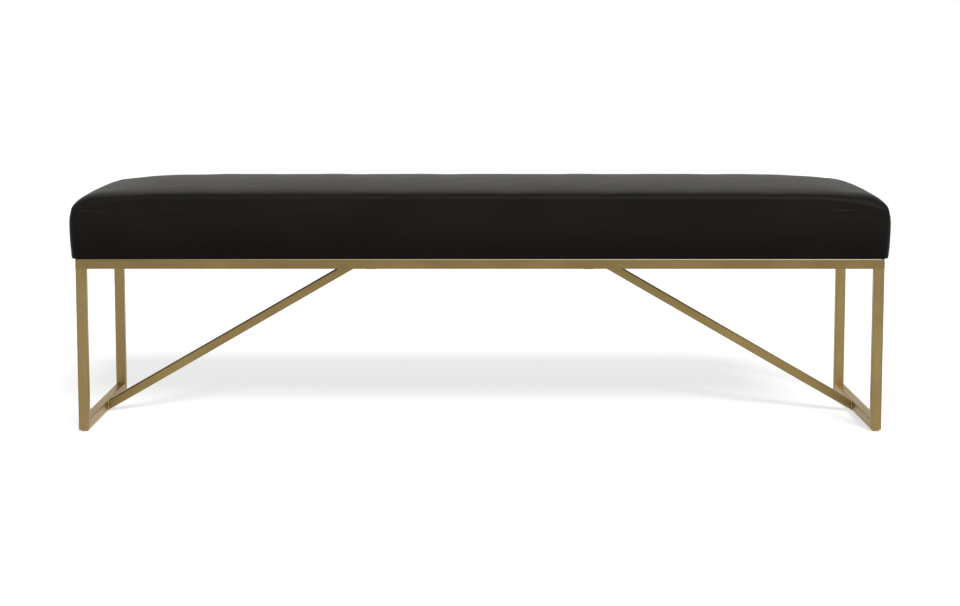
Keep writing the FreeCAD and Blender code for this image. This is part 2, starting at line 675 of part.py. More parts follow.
def buildBench():
    """All sub-parts of the bench."""
    topFrame()
    for corner, side_x, side_y in CORNERS:
        leg("leg_" + corner, side_x, side_y)
        levellingFoot(corner, side_x, side_y)
    floorRail("floor_rail_left", -1)
    floorRail("floor_rail_right", 1)
    brace("brace_left", 0)
    brace("brace_right", 180)
    seatTabs()
    legBushes()
    seatScrews()
    seatDeck()
    teeNuts()
    dustCover()
    staples("cover_staples", FRAME_TOP, "Sizes.cover_staple_inset",
            "Sizes.cover_staple_count_long", "Sizes.cover_staple_count_short")
    staples("dust_staples", "%s - Sizes.staple_wire" % FRAME_TOP, "Sizes.dust_staple_inset",
            "Sizes.dust_staple_count_long", "Sizes.dust_staple_count_short")
    softSeat()


def subParts():
    """Objects that are written out: every body and every free-form shape."""
    return [item for item in doc.Objects
            if item.TypeId in ("PartDesign::Body", "Part::Feature")]


def checkDocument():
    """Stops if anything in the document failed or a sub-part isn't sound."""
    for item in doc.Objects:
        if "Invalid" in item.State or "Error" in item.State:
            raise RuntimeError("%s failed: %s" % (item.Label, item.State))
    for part in subParts():
        if part.Shape.isNull() or not part.Shape.isValid():
            raise RuntimeError("%s isn't a sound solid" % part.Label)


buildBench()
doc.recompute()
checkDocument()
for part in subParts():
    part.Shape.exportStep("parts/%s.step" % part.Label)
    box = part.Shape.BoundBox
    print("%-24s %3d solids  %10.1f mm3  z %.2f to %.2f"
          % (part.Label, len(part.Shape.Solids), part.Shape.Volume, box.ZMin, box.ZMax))
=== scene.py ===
import math

import bmesh
import bpy
import numpy as np
from mathutils import Matrix, Vector


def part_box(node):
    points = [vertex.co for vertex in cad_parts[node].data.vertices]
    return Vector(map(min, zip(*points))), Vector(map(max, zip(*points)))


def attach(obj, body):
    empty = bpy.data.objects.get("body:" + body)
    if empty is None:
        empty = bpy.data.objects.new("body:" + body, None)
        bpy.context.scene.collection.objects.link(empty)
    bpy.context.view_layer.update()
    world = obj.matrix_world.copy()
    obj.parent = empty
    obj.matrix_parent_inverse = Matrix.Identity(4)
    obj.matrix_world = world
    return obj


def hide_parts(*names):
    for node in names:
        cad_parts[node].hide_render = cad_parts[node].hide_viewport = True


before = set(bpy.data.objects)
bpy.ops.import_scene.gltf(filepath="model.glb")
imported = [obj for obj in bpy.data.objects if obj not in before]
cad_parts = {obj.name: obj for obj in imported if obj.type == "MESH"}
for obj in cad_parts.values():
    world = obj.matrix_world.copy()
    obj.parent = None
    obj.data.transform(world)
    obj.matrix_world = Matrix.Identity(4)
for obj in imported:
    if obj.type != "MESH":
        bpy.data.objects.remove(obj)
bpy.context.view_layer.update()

print("frame loaded with", len(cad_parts), "nodes")


# helpers for meshes

def meshObject(name, points, faces, smooth=True):
    mesh = bpy.data.meshes.new(name)
    mesh.from_pydata([tuple(p) for p in points], [], [tuple(f) for f in faces])
    mesh.validate()
    mesh.polygons.foreach_set("use_smooth", [smooth] * len(mesh.polygons))
    mesh.update()
    piece = bpy.data.objects.new(name, mesh)
    bpy.context.scene.collection.objects.link(piece)
    return piece


def bakeModifiers(piece):
    # the evaluated result becomes the piece's own plain mesh
    bpy.context.view_layer.update()
    result = bpy.data.meshes.new_from_object(piece.evaluated_get(bpy.context.evaluated_depsgraph_get()))
    piece.modifiers.clear()
    piece.data = result
    return piece


def reshaped(piece, change):
    shell = bmesh.new()
    shell.from_mesh(piece.data)
    change(shell)
    shell.to_mesh(piece.data)
    shell.free()
    return piece


def outwards(piece):
    # every face of a closed mesh looks out
    return reshaped(piece, lambda shell: bmesh.ops.recalc_face_normals(shell, faces=shell.faces))


def withoutFaces(piece, unwanted):
    def drop(shell):
        faces = [face for face in shell.faces if unwanted(face)]
        bmesh.ops.delete(shell, geom=faces, context="FACES")

    return reshaped(piece, drop)


def thicken(piece, thickness, offset=-1):
    layer = piece.modifiers.new("Solidify", "SOLIDIFY")
    layer.thickness = thickness
    layer.offset = offset
    return piece


def subdivide(piece):
    smooth = piece.modifiers.new("Subdivision", "SUBSURF")
    smooth.levels = smooth.render_levels = 1
    return bakeModifiers(piece)


def smoothed(piece):
    piece.data.polygons.foreach_set("use_smooth", [True] * len(piece.data.polygons))
    return piece


def readVectors(items, key):
    flat = np.empty(len(items) * 3)
    items.foreach_get(key, flat)
    return flat.reshape(-1, 3)


def readPoints(mesh):
    return readVectors(mesh.vertices, "co")


def readNormals(mesh):
    return readVectors(mesh.vertex_normals, "vector")


def writePoints(mesh, points):
    mesh.vertices.foreach_set("co", points.reshape(-1))
    mesh.update()


# helpers for node trees

ownTrees = []


def addNode(tree, kind, **settings):
    node = tree.nodes.new(kind)
    for key, value in settings.items():
        setattr(node, key, value)
    return node


def connect(socket, value):
    # the value is another node's output or a plain setting
    if isinstance(value, bpy.types.NodeSocket):
        socket.id_data.links.new(value, socket)
    else:
        socket.default_value = value


def feed(node, **values):
    for key, value in values.items():
        connect(node.inputs[key.replace("_", " ")], value)
    return node


def feedInOrder(node, *values):
    for socket, value in zip(node.inputs, values):
        connect(socket, value)
    return node.outputs[0]


def maths(tree, operation, *values):
    return feedInOrder(addNode(tree, "ShaderNodeMath", operation=operation), *values)


def axisOf(vector, axis):
    return feed(addNode(vector.id_data, "ShaderNodeSeparateXYZ"), Vector=vector).outputs[axis]


def vectorOf(tree, **axes):
    return feed(addNode(tree, "ShaderNodeCombineXYZ"), **axes).outputs[0]


def newMaterial(name, preview):
    material = bpy.data.materials.new(name)
    material.use_nodes = True
    material.diffuse_color = (*preview, 1)
    tree = material.node_tree
    tree.nodes.clear()
    ownTrees.append(tree)
    shader = addNode(tree, "ShaderNodeBsdfPrincipled")
    feed(addNode(tree, "ShaderNodeOutputMaterial"), Surface=shader.outputs["BSDF"])
    return material, tree, shader


def objectMapping(tree, scale=(1, 1, 1), turn=(0, 0, 0)):
    vector = addNode(tree, "ShaderNodeTexCoord").outputs["Object"]
    for setting in ({"Rotation": turn}, {"Scale": scale}):
        vector = feed(addNode(tree, "ShaderNodeMapping"), Vector=vector, **setting).outputs["Vector"]
    return vector


def noise(vector, scale, detail=3, roughness=0.55):
    node = addNode(vector.id_data, "ShaderNodeTexNoise")
    return feed(node, Vector=vector, Scale=scale, Detail=detail, Roughness=roughness).outputs["Fac"]


def cells(vector, scale):
    node = addNode(vector.id_data, "ShaderNodeTexVoronoi")
    return feed(node, Vector=vector, Scale=scale).outputs["Distance"]


def ramp(factor, positions, colours):
    node = addNode(factor.id_data, "ShaderNodeValToRGB")
    line = node.color_ramp
    while len(line.elements) < len(positions):
        line.elements.new(0.5)
    for element, position, colour in zip(line.elements, positions, colours):
        element.position = position
        element.color = (*colour, 1)
    return feed(node, Fac=factor).outputs["Color"]


def spread(factor, low, high, start=0.0, end=1.0, curve="LINEAR"):
    node = addNode(factor.id_data, "ShaderNodeMapRange", interpolation_type=curve)
    feed(node, Value=factor, From_Min=start, From_Max=end, To_Min=low, To_Max=high)
    return node.outputs["Result"]


def mixOf(kind, first, second, share, **settings):
    # the mix node keeps a set of sockets for each kind of value
    firstAt, secondAt, result = {"FLOAT": (2, 3, 0), "RGBA": (6, 7, 2)}[kind]
    node = addNode(first.id_data, "ShaderNodeMix", data_type=kind, **settings)
    for index, value in ((0, share), (firstAt, first), (secondAt, second)):
        connect(node.inputs[index], value)
    return node.outputs[result]


def blendFactors(first, second, share):
    return mixOf("FLOAT", first, second, share)


def multiplyColours(first, second, share=1.0):
    return mixOf("RGBA", first, second, share, blend_type="MULTIPLY")


def bump(height, strength, distance, before=None):
    node = addNode(height.id_data, "ShaderNodeBump")
    feed(node, Height=height, Strength=strength, Distance=distance)
    if before:
        feed(node, Normal=before)
    return node.outputs["Normal"]


def arrange(tree):
    # columns by distance from the output, for whoever opens the tree
    column = {node.name: 0 for node in tree.nodes}
    for turn in column:
        for link in tree.links:
            start, end = link.from_node.name, link.to_node.name
            column[start] = max(column[start], column[end] + 1)
    rows = {}
    for name, place in column.items():
        rows[place] = rows.get(place, 0) + 1
        tree.nodes[name].location = (-250 * place, -220 * rows[place])


def paint(piece, *materials):
    # every slot of a carried-over node, or the slots of a new piece
    slots = piece.data.materials
    if len(slots) == len(materials):
        for i, material in enumerate(materials):
            slots[i] = material
        return piece
    slots.clear()
    for material in materials:
        slots.append(material)
    return piece


# brushed brass of the tubes

brass = {
    "colour": (0.290, 0.209, 0.086),
    "deep": (0.213, 0.149, 0.057),
    "rails": 0.80,          # painted shade: the long rails a little darker than the legs, under the seat's overhang
    # painted light: the back legs a little lighter than the front ones
    "backLegsLit": 1.07,
    "edgeTint": (0.86, 0.80, 0.68),
    "floorEdgeTint": (0.96, 0.88, 0.78),
    "edgeShade": 0.55,       # painted shade on the rounded outer edges of the legs
    "edgeBand": 0.0020,
    "leftBraceShade": 0.12,      # and painted shade along the upper edges of the braces
    "rightBraceShade": 0.6,
    "stripUnder": (0.0026, 0.0014),
    "stripInside": (0.0050, 0.0030),
    "braceSlope": math.radians(30),
    "roughness": (0.27, 0.42),
    "brushLines": 1500,     # per metre, across the tube
    "brushStretch": 0.012,  # along the tube
    "brushDepth": 0.00004,
    "patina": 9,
}
white = (1, 1, 1)


# painted shade along the rounded outer edges of the legs
def legEdgeShade(colour):
    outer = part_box("leg_front_right")[1].x
    tree = colour.id_data
    size = maths(tree, "ABSOLUTE", axisOf(objectMapping(tree), "X"))
    across = spread(size, 0, 1, outer - brass["edgeBand"], outer)
    dark = (brass["edgeShade"],) * 3
    return multiplyColours(colour, ramp(across, (0.1, 0.45, 0.85, 0.99), (white, dark, dark, white)))


# painted shade along the upper edges of a brace
def braceEdgeShade(colour, node, rise, dark):
    low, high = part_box(node)
    tree = colour.id_data
    place = objectMapping(tree)
    up = Vector((-math.sin(rise), 0, math.cos(rise)))
    level = addNode(tree, "ShaderNodeVectorMath", operation="DOT_PRODUCT")
    feedInOrder(level, place, up)
    top = up.dot((low + high) / 2) + high.y
    upper = spread(level.outputs["Value"], 0, 1, *(top - under for under in brass["stripUnder"]))
    size = maths(tree, "ABSOLUTE", axisOf(place, "Y"))
    outer = spread(size, 0, 1, *(high.y - inside for inside in brass["stripInside"]))
    return multiplyColours(colour, spread(maths(tree, "MINIMUM", upper, outer), 1, dark))


def brushedBrass(name, scale, turn=(0, 0, 0), shade=1.0, edges=None, tint=brass["edgeTint"]):
    material, tree, shader = newMaterial(name, brass["colour"])
    along = objectMapping(tree, scale, turn)
    lines = noise(along, brass["brushLines"], 4, 0.7)
    coarse = noise(along, brass["brushLines"] / 7, 2, 0.5)
    patina = noise(objectMapping(tree), brass["patina"], 4, 0.6)
    tones = [tuple(shade * part for part in brass[key]) for key in ("deep", "colour")]
    colour = ramp(blendFactors(lines, patina, 0.45), (0.36, 0.62), tones)
    if edges:
        colour = edges(colour)
    rough = spread(blendFactors(coarse, patina, 0.5), *brass["roughness"], 0.3, 0.7)
    relief = bump(lines, 0.55, brass["brushDepth"])
    feed(shader, Base_Color=colour, Metallic=1.0, Roughness=rough, Normal=relief)
    feed(shader, Specular_Tint=(*tint, 1))
    return material


stretch = brass["brushStretch"]
# the long rails take a darker copy of the brass, painted shade
brassAlongXShaded = brushedBrass("brass_along_x_shaded", (stretch, 1, 1), shade=brass["rails"])
brassAlongY = brushedBrass("brass_along_y", (1, stretch, 1), tint=brass["floorEdgeTint"])
brassAlongZ = brushedBrass("brass_upright", (1, 1, stretch), edges=legEdgeShade)
# the back legs take a lighter copy of the brass, painted light
brassBackLegsLit = brushedBrass("brass_upright_back_lit", (1, 1, stretch), shade=brass["backLegsLit"], edges=legEdgeShade)
for name, node, rise, dark in (("brass_rising", "brace_left", brass["braceSlope"], brass["leftBraceShade"]),
                               ("brass_falling", "brace_right", -brass["braceSlope"], brass["rightBraceShade"])):
    sloped = brushedBrass(name, (stretch, 1, 1), (0, rise, 0),
                          edges=lambda colour: braceEdgeShade(colour, node, rise, dark))
    paint(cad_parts[node], sloped)
for name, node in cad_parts.items():
    if name in ("top_rail_front", "top_rail_back"):
        paint(node, brassAlongXShaded)
    elif name.startswith(("top_rail", "cross_rail", "floor_rail", "seat_tabs")):
        paint(node, brassAlongY)
    elif name.startswith("leg_back"):
        paint(node, brassBackLegsLit)
    elif name.startswith("leg_front"):
        paint(node, brassAlongZ)
print("tubes finished")


# plain metals of the fixings

metal = {
    "smoother": 0.07,
    "rougher": 0.1,
    "fineGrain": 8,
    "gritDepth": 0.00005,
}


def plainMetal(name, colour, dark, roughness, grain):
    material, tree, shader = newMaterial(name, colour)
    place = objectMapping(tree)
    blotch = noise(place, grain, 4, 0.6)
    fine = noise(place, grain * metal["fineGrain"], 2, 0.5)
    rough = spread(blotch, roughness - metal["smoother"], roughness + metal["rougher"], 0.3, 0.7)
    feed(shader, Base_Color=ramp(blotch, (0.35, 0.65), (dark, colour)), Metallic=1.0, Roughness=rough)
    feed(shader, Normal=bump(fine, 0.3, metal["gritDepth"]))
    return material


turnedBrass = plainMetal("turned_brass", (0.50, 0.36, 0.16), (0.36, 0.25, 0.10), 0.33, 260)
zincPlate = plainMetal("zinc_plate", (0.62, 0.62, 0.60), (0.46, 0.46, 0.44), 0.36, 320)
blackZinc = plainMetal("black_zinc", (0.07, 0.068, 0.065), (0.035, 0.034, 0.033), 0.42, 300)
turnedSteel = plainMetal("turned_steel", (0.52, 0.52, 0.51), (0.40, 0.39, 0.38), 0.30, 500)
stapleWire = plainMetal("staple_wire", (0.68, 0.68, 0.67), (0.52, 0.52, 0.51), 0.30, 700)
paint(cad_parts["leg_bushes"], turnedSteel)
paint(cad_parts["tee_nuts"], zincPlate)
paint(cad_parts["seat_washers"], blackZinc)


# plywood, nylon, cloth, foam and wadding, each from its darkest shade to its palest

shades = {
    "plywood": ((0.46, 0.31, 0.17), (0.62, 0.45, 0.28), (0.70, 0.53, 0.35)),
    "plies": ((0.62, 0.58, 0.54), white),
    "nylon": ((0.04, 0.037, 0.033), (0.065, 0.06, 0.055)),
    "cloth": ((0.012, 0.012, 0.013), (0.034, 0.034, 0.036)),
    "foam": ((0.66, 0.57, 0.34), (0.84, 0.76, 0.53)),
    "wadding": ((0.74, 0.74, 0.71), (0.88, 0.88, 0.86)),
}


def plywood():
    material, tree, shader = newMaterial("plywood", shades["plywood"][1])
    grain = noise(objectMapping(tree, (1.2, 22, 1)), 14, 6, 0.65)
    pores = noise(objectMapping(tree, (6, 500, 500)), 3, 2, 0.6)
    plies = addNode(tree, "ShaderNodeTexWave", bands_direction="Z")
    feed(plies, Vector=objectMapping(tree), Scale=105.0, Distortion=0.4)
    wood = ramp(grain, (0.30, 0.52, 0.75), shades["plywood"])
    layers = ramp(plies.outputs["Fac"], (0.2, 0.6), shades["plies"])
    feed(shader, Base_Color=multiplyColours(wood, layers, 0.8), Roughness=0.78)
    feed(shader, Normal=bump(pores, 0.4, 0.0002))
    return material


def nylon():
    material, tree, shader = newMaterial("dark_nylon", (0.05, 0.047, 0.043))
    speckle = noise(objectMapping(tree), 900, 3, 0.6)
    feed(shader, Base_Color=ramp(speckle, (0.3, 0.7), shades["nylon"]), Roughness=0.55)
    feed(shader, Normal=bump(speckle, 0.35, 0.00008))
    return material


def feltedCloth():
    # nonwoven cloth: pressed fibres in all directions and a grid of small bond points
    material, tree, shader = newMaterial("nonwoven_cloth", (0.02, 0.02, 0.021))
    place = objectMapping(tree)
    fibres = noise(place, 850, 5, 0.75)
    streaks = noise(objectMapping(tree, (1, 0.15, 1), (0, 0, 0.5)), 500, 3, 0.6)
    tone = blendFactors(fibres, streaks, 0.4)
    feed(shader, Base_Color=ramp(tone, (0.3, 0.7), shades["cloth"]), Roughness=0.92)
    feed(shader, Sheen_Weight=0.25, Sheen_Roughness=0.5)
    bonds = bump(cells(place, 420), 0.5, 0.0002)
    feed(shader, Normal=bump(tone, 0.6, 0.00025, bonds))
    return material


def openFoam():
    material, tree, shader = newMaterial("cream_foam", (0.82, 0.74, 0.50))
    place = objectMapping(tree)
    pores = cells(place, 650)
    tone = blendFactors(pores, noise(place, 20, 3, 0.5), 0.4)
    feed(shader, Base_Color=ramp(tone, (0.1, 0.5), shades["foam"]), Roughness=0.95)
    feed(shader, Normal=bump(pores, 0.8, 0.0006))
    return material


def looseFibre():
    material, tree, shader = newMaterial("white_wadding", (0.86, 0.86, 0.83))
    strands = noise(objectMapping(tree, (0.3, 1, 1), (0, 0, 0.4)), 420, 6, 0.8)
    tufts = noise(objectMapping(tree), 45, 4, 0.6)
    tone = blendFactors(strands, tufts, 0.5)
    feed(shader, Base_Color=ramp(tone, (0.3, 0.65), shades["wadding"]), Roughness=1.0)
    feed(shader, Sheen_Weight=0.4, Sheen_Roughness=0.6)
    feed(shader, Normal=bump(strands, 0.7, 0.0005, bump(tufts, 0.5, 0.002)))
    return material


paint(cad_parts["seat_deck"], plywood())
nylonPad = nylon()
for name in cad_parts:
    if name.startswith("foot_pad_"):
        paint(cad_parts[name], nylonPad)
print("fixings and hidden layers finished")


# the seat's form: upright walls with rounded corners under a crowned top

coverLow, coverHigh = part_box("seat_cover")
lift = 0.0037               # the drawn crown is fuller than the plain solid
seat = {
    "bottom": coverLow.z,
    "halfLength": (coverHigh.x - coverLow.x) / 2,
    "halfDepth": (coverHigh.y - coverLow.y) / 2,
    "height": coverHigh.z - coverLow.z + lift,
    "corner": 0.017,
    "foot": 0.0025,         # round edge at the bottom
    "tuck": 0.0032,
    "belly": 0.060,
    "endRun": 0.0660,       # slope of the ends
    "endRise": 0.0599,
    "endPower": 2.22,
    "endCrown": 0.0099,
    "crownPower": 11,
    "edgeDrop": 0.0206,     # the long edges lie this much under the crown
    "arch": 0.72,           # share of that drop in an even arch, the rest near the edge
    "cornerArch": 0.01,
    "edgePower": 22,
    "cornerPower": 20,
    "cornerDrop": 0.0232,   # and fall further towards the corners
    "cornerReach": 0.185,
    "cornerFall": 2.6,
    "edgeRound": 0.006,     # round of the long edges, tighter at the corners
    "cornerRound": 0.009,
    "margin": 0.050,
    "reach": 0.16,
    "halvings": 30,
}


def crownedTop(x, y):
    flat = seat["halfLength"] - seat["endRun"]
    shoulder = seat["height"] - seat["endCrown"] - seat["endRise"]
    inward = 1 - np.clip(seat["halfLength"] - x, 0, seat["endRun"]) / seat["endRun"]
    power = seat["endPower"]
    middle = shoulder + seat["endRise"] * np.clip(1 - inward ** power, 0, None) ** (1 / power)
    middle = middle + seat["endCrown"] * (1 - np.clip(x / flat, 0, 1) ** seat["crownPower"])
    start = seat["halfLength"] - seat["cornerReach"]
    near = np.clip((x - start) / seat["cornerReach"], 0, 1) ** seat["cornerFall"]
    edge = seat["height"] - seat["edgeDrop"] - seat["cornerDrop"] * near
    out = np.clip(y / seat["halfDepth"], 0, 1)
    arch = seat["arch"] + (seat["cornerArch"] - seat["arch"]) * near
    power = seat["edgePower"] + (seat["cornerPower"] - seat["edgePower"]) * near
    share = arch * out ** 2 + (1 - arch) * out ** power
    return middle - share * np.clip(middle - edge, 0, None), near


def insideSeat(x, y, z, inset, base):
    x, y = np.abs(x) + inset, np.abs(y) + inset
    drawn = seat["tuck"] * (np.clip(seat["belly"] - z, 0, None) / seat["belly"]) ** 2
    overX = x - (seat["halfLength"] - drawn - seat["corner"])
    overY = y - (seat["halfDepth"] - drawn - seat["corner"])
    outward = np.hypot(np.clip(overX, 0, None), np.clip(overY, 0, None))
    wall = seat["corner"] - outward - np.minimum(np.maximum(overX, overY), 0)
    top, near = crownedTop(x, y)
    above = top - (z + inset)
    turn = seat["edgeRound"] + (seat["cornerRound"] - seat["edgeRound"]) * near
    held = np.hypot(np.clip(turn - wall, 0, None), np.clip(turn - above, 0, None)) <= turn
    foot = seat["foot"]
    return held & (np.hypot(np.clip(foot - wall, 0, None), np.clip(foot - (z - base), 0, None)) <= foot)


def ontoSeat(points, inset, base):
    # each point moves onto the form, away from a smaller box in the seat's middle
    height = seat["height"] - inset - base
    centre = np.array((0, 0, seat["bottom"] + base + height / 2))
    inner = np.array((seat["halfLength"] - inset, seat["halfDepth"] - inset, height / 2)) - seat["margin"]
    start = np.clip(points - centre, -inner, inner)
    way = points - centre - start
    way /= np.linalg.norm(way, axis=1)[:, None]
    near, far = np.zeros(len(points)), np.full(len(points), seat["reach"])
    for step in range(seat["halvings"]):
        middle = (near + far) / 2
        spot = start + way * middle[:, None] + centre
        held = insideSeat(spot[:, 0], spot[:, 1], spot[:, 2] - seat["bottom"], inset, base)
        near = np.where(held, middle, near)
        far = np.where(held, far, middle)
    return start + way * near[:, None] + centre


def edgeSpacing(half, cell, steps):
    # even cells in the middle, and even turns of the surface round the edges
    inner = half - seat["margin"]
    middle = max(round(2 * inner / cell), 1)
    turns = [seat["margin"] * math.tan(math.radians(45 * i / steps)) for i in range(1, steps + 1)]
    line = [-inner - t for t in reversed(turns)]
    line += [-inner + 2 * inner * i / middle for i in range(middle + 1)]
    line += [inner + t for t in turns]
    return line


def seatGrid(inset, base, cell, steps):
    height = seat["height"] - inset - base
    halves = (seat["halfLength"] - inset, seat["halfDepth"] - inset, height / 2)
    lines = [edgeSpacing(half, cell, count) for half, count in zip(halves, steps)]
    last = [len(line) - 1 for line in lines]
    index, points, faces = {}, [], []

    def corner(place):
        if place not in index:
            index[place] = len(points)
            points.append([lines[axis][place[axis]] for axis in range(3)])
        return index[place]

    for axis in range(3):
        u, v = (axis + 1) % 3, (axis + 2) % 3
        for end in (0, last[axis]):
            for i in range(last[u]):
                for j in range(last[v]):
                    loop = []
                    for a, b in ((0, 0), (1, 0), (1, 1), (0, 1)):
                        place = [0, 0, 0]
                        place[axis], place[u], place[v] = end, i + a, j + b
                        loop.append(corner(tuple(place)))
                    faces.append(loop if end else loop[::-1])
    box = np.array(points) + (0, 0, seat["bottom"] + base + height / 2)
    return ontoSeat(box, inset, base), faces


# near-black leather of the seat

leather = {
    "colour": (0.0058, 0.0052, 0.0046),
    "worn": (0.0100, 0.0089, 0.0077),
    "low": 0.36,            # painted shade: darker towards the frame
    "shadeReach": 0.09,
    "roughness": (0.43, 0.53),
    "reflection": 0.0630,
    "tint": (1.0, 0.93, 0.80),
    "bloom": 0.08,          # faint warm sheen
    "bloomTint": (1.0, 0.90, 0.70),
    "grainCells": 1050,     # pebbles per metre
    "grainDepth": 0.00016,
    "foldScale": 26,
    "foldDepth": 0.0016,
    "pullScale": 9,
    "pullDepth": 0.0035,
}


def smoothLeather():
    material, tree, shader = newMaterial("black_leather", leather["colour"])
    place = objectMapping(tree)
    pebbles = cells(place, leather["grainCells"])
    fine = noise(place, leather["grainCells"] * 2.2, 3, 0.6)
    folds = noise(objectMapping(tree, (0.35, 1, 1.6)), leather["foldScale"], 5, 0.55)
    pulls = noise(objectMapping(tree, (0.55, 1, 1)), leather["pullScale"], 2, 0.5)
    clouds = noise(place, 5.5, 4, 0.55)
    colour = ramp(blendFactors(clouds, folds, 0.35), (0.35, 0.68), (leather["colour"], leather["worn"]))
    # painted shade, darker towards the frame below
    level = seat["bottom"], seat["bottom"] + leather["shadeReach"]
    rise = spread(axisOf(place, "Z"), leather["low"], 1, *level)
    rough = spread(blendFactors(pebbles, clouds, 0.6), *leather["roughness"], 0.2, 0.7)
    relief = bump(pulls, 0.35, leather["pullDepth"])
    relief = bump(folds, 0.35, leather["foldDepth"], relief)
    relief = bump(pebbles, 0.45, leather["grainDepth"], relief)
    relief = bump(fine, 0.25, leather["grainDepth"] * 0.5, relief)
    feed(shader, Base_Color=multiplyColours(colour, rise), Roughness=rough, Normal=relief)
    feed(shader, Specular_IOR_Level=leather["reflection"], Specular_Tint=(*leather["tint"], 1))
    feed(shader, Sheen_Weight=leather["bloom"], Sheen_Roughness=0.35, Sheen_Tint=(*leather["bloomTint"], 1))
    return material


# leather cover: the cushion form under pressure, settled as cloth

cover = {
    "cell": 0.020,
    "edgeSteps": (12, 12, 20),
    "steps": 20,
    "mostMove": 0.0008,
    "swell": 0.0011,
    "slack": 0.0004,        # slight waves in the drawn leather
    "thickness": 0.0013,
    "turnIn": 0.038,
    "heldUnder": 0.002,     # the cloth is held up to here
    "flatUnder": 0.001,
}
clothSettings = {
    "quality": 5,
    "mass": 0.4,
    "tension_stiffness": 40,
    "compression_stiffness": 20,
    "shear_stiffness": 15,
    "bending_stiffness": 8,
    "use_pressure": True,
    "uniform_pressure_force": 4.0,
    "vertex_group_mass": "held",
}


def settleAsCloth(piece, held):
    group = piece.vertex_groups.new(name="held")
    group.add([int(i) for i in held], 1.0, "REPLACE")
    cloth = piece.modifiers.new("Cloth", "CLOTH")
    for key, value in clothSettings.items():
        setattr(cloth.settings, key, value)
    cloth.settings.effector_weights.gravity = 0
    cloth.collision_settings.use_collision = False
    cloth.point_cache.frame_start = 1
    cloth.point_cache.frame_end = cover["steps"]
    for step in range(1, cover["steps"] + 1):
        bpy.context.scene.frame_set(step)
    settled = readPoints(piece.evaluated_get(bpy.context.evaluated_depsgraph_get()).data)
    piece.modifiers.clear()
    piece.vertex_groups.clear()
    bpy.context.scene.frame_set(1)
    return settled


def cappedMove(before, after, most):
    move = after - before
    length = np.linalg.norm(move, axis=1)
    scale = most * np.tanh(length / most) / np.maximum(length, 1e-9)
    return before + move * scale[:, None]


# creases where the leather is drawn round the corners: points of the path, half width, depth
creases = [
    ([(-0.757, -0.229, 0.4270), (-0.722, -0.229, 0.4266)], 0.0030, 0.0018),
    ([(-0.742, -0.229, 0.4195), (-0.700, -0.229, 0.4190)], 0.0030, 0.0012),
    ([(-0.545, -0.229, 0.4278), (-0.485, -0.229, 0.4272)], 0.0030, 0.0010),
    ([(-0.640, -0.229, 0.4255), (-0.470, -0.229, 0.4235)], 0.0042, 0.0005),
    ([(0.757, -0.229, 0.4285), (0.728, -0.229, 0.4285)], 0.0030, 0.0018),
    ([(0.750, -0.229, 0.4116), (0.650, -0.229, 0.4112)], 0.0032, 0.0012),
    ([(0.700, -0.229, 0.4200), (0.655, -0.229, 0.4205)], 0.0032, 0.0010),
    ([(-0.7645, -0.190, 0.4120), (-0.7645, 0.110, 0.4100)], 0.0050, 0.0008),
    ([(0.7645, -0.120, 0.4090), (0.7645, 0.190, 0.4115)], 0.0050, 0.0008),
    ([(-0.752, 0.229, 0.4270), (-0.700, 0.229, 0.4262)], 0.0036, 0.0014),
    ([(0.752, 0.229, 0.4270), (0.712, 0.229, 0.4272)], 0.0036, 0.0014),
    ([(-0.640, 0.229, 0.4220), (-0.450, 0.229, 0.4235)], 0.0045, 0.0007),
]
for side in (-1, 1):
    front = [(0.7645, -0.212, 0.4050), (0.7625, -0.222, 0.4180), (0.757, -0.228, 0.4262)]
    back = [(0.7645, 0.212, 0.4050), (0.762, 0.224, 0.4200), (0.752, 0.229, 0.4270)]
    for path, width, depth in ((front, 0.0040, 0.0022), (back, 0.0042, 0.0020)):
        creases.append(([(side * x, y, z) for x, y, z in path], width, depth))


def pressCreases(points, normals):
    press = np.zeros(len(points))
    for path, width, depth in creases:
        path = np.array(path)
        steps = np.linalg.norm(np.diff(path, axis=0), axis=1)
        total, done = steps.sum(), 0
        for a, b, step in zip(path, path[1:], steps):
            share = np.clip(((points - a) @ (b - a)) / step ** 2, 0, 1)
            gap = np.linalg.norm(points - (a + share[:, None] * (b - a)), axis=1)
            fade = np.sin(np.pi * np.clip((done + share * step) / total, 0.04, 0.96)) ** 0.5
            press = np.maximum(press, depth * fade * np.clip(1 - (gap / width) ** 2, 0, None) ** 2)
            done += step
    return points - normals * press[:, None]


def slackWaves(points):
    x, y, z = points.T
    long = np.sin(x * 37 + 2.1 * np.sin(y * 11 + 0.6) + 1.7 * np.sin(z * 23))
    short = np.sin(x * 71 + 4.3 + 2.6 * np.sin(y * 17 - 1.1)) * np.cos(y * 34 + z * 41 + 1.9 * np.sin(x * 9))
    return 0.6 * long + 0.6 * short


def leatherCover():
    points, faces = seatGrid(0, 0, cover["cell"], cover["edgeSteps"])
    piece = meshObject("leather_cover", points, faces)
    form = subdivide(meshObject("resting_form", points, faces))
    resting = readPoints(form.data)
    held = np.nonzero(points[:, 2] < seat["bottom"] + cover["heldUnder"])[0]
    settled = cappedMove(points, settleAsCloth(piece, held), cover["mostMove"])
    move = np.linalg.norm(settled - points, axis=1) * 1000
    print("cover settled by %.2f mm on average, %.2f mm at most" % (move.mean(), move.max()))
    writePoints(piece.data, settled)
    move = readPoints(subdivide(piece).data) - resting
    points = ontoSeat(resting, 0, 0) + move
    bpy.data.objects.remove(form)
    writePoints(piece.data, points)
    normals = readNormals(piece.data)
    swell = cover["swell"] + cover["slack"] * slackWaves(points)
    points = pressCreases(points + normals * swell[:, None], normals)
    points[:, 2] = np.maximum(points[:, 2], seat["bottom"])
    writePoints(piece.data, points)
    return piece


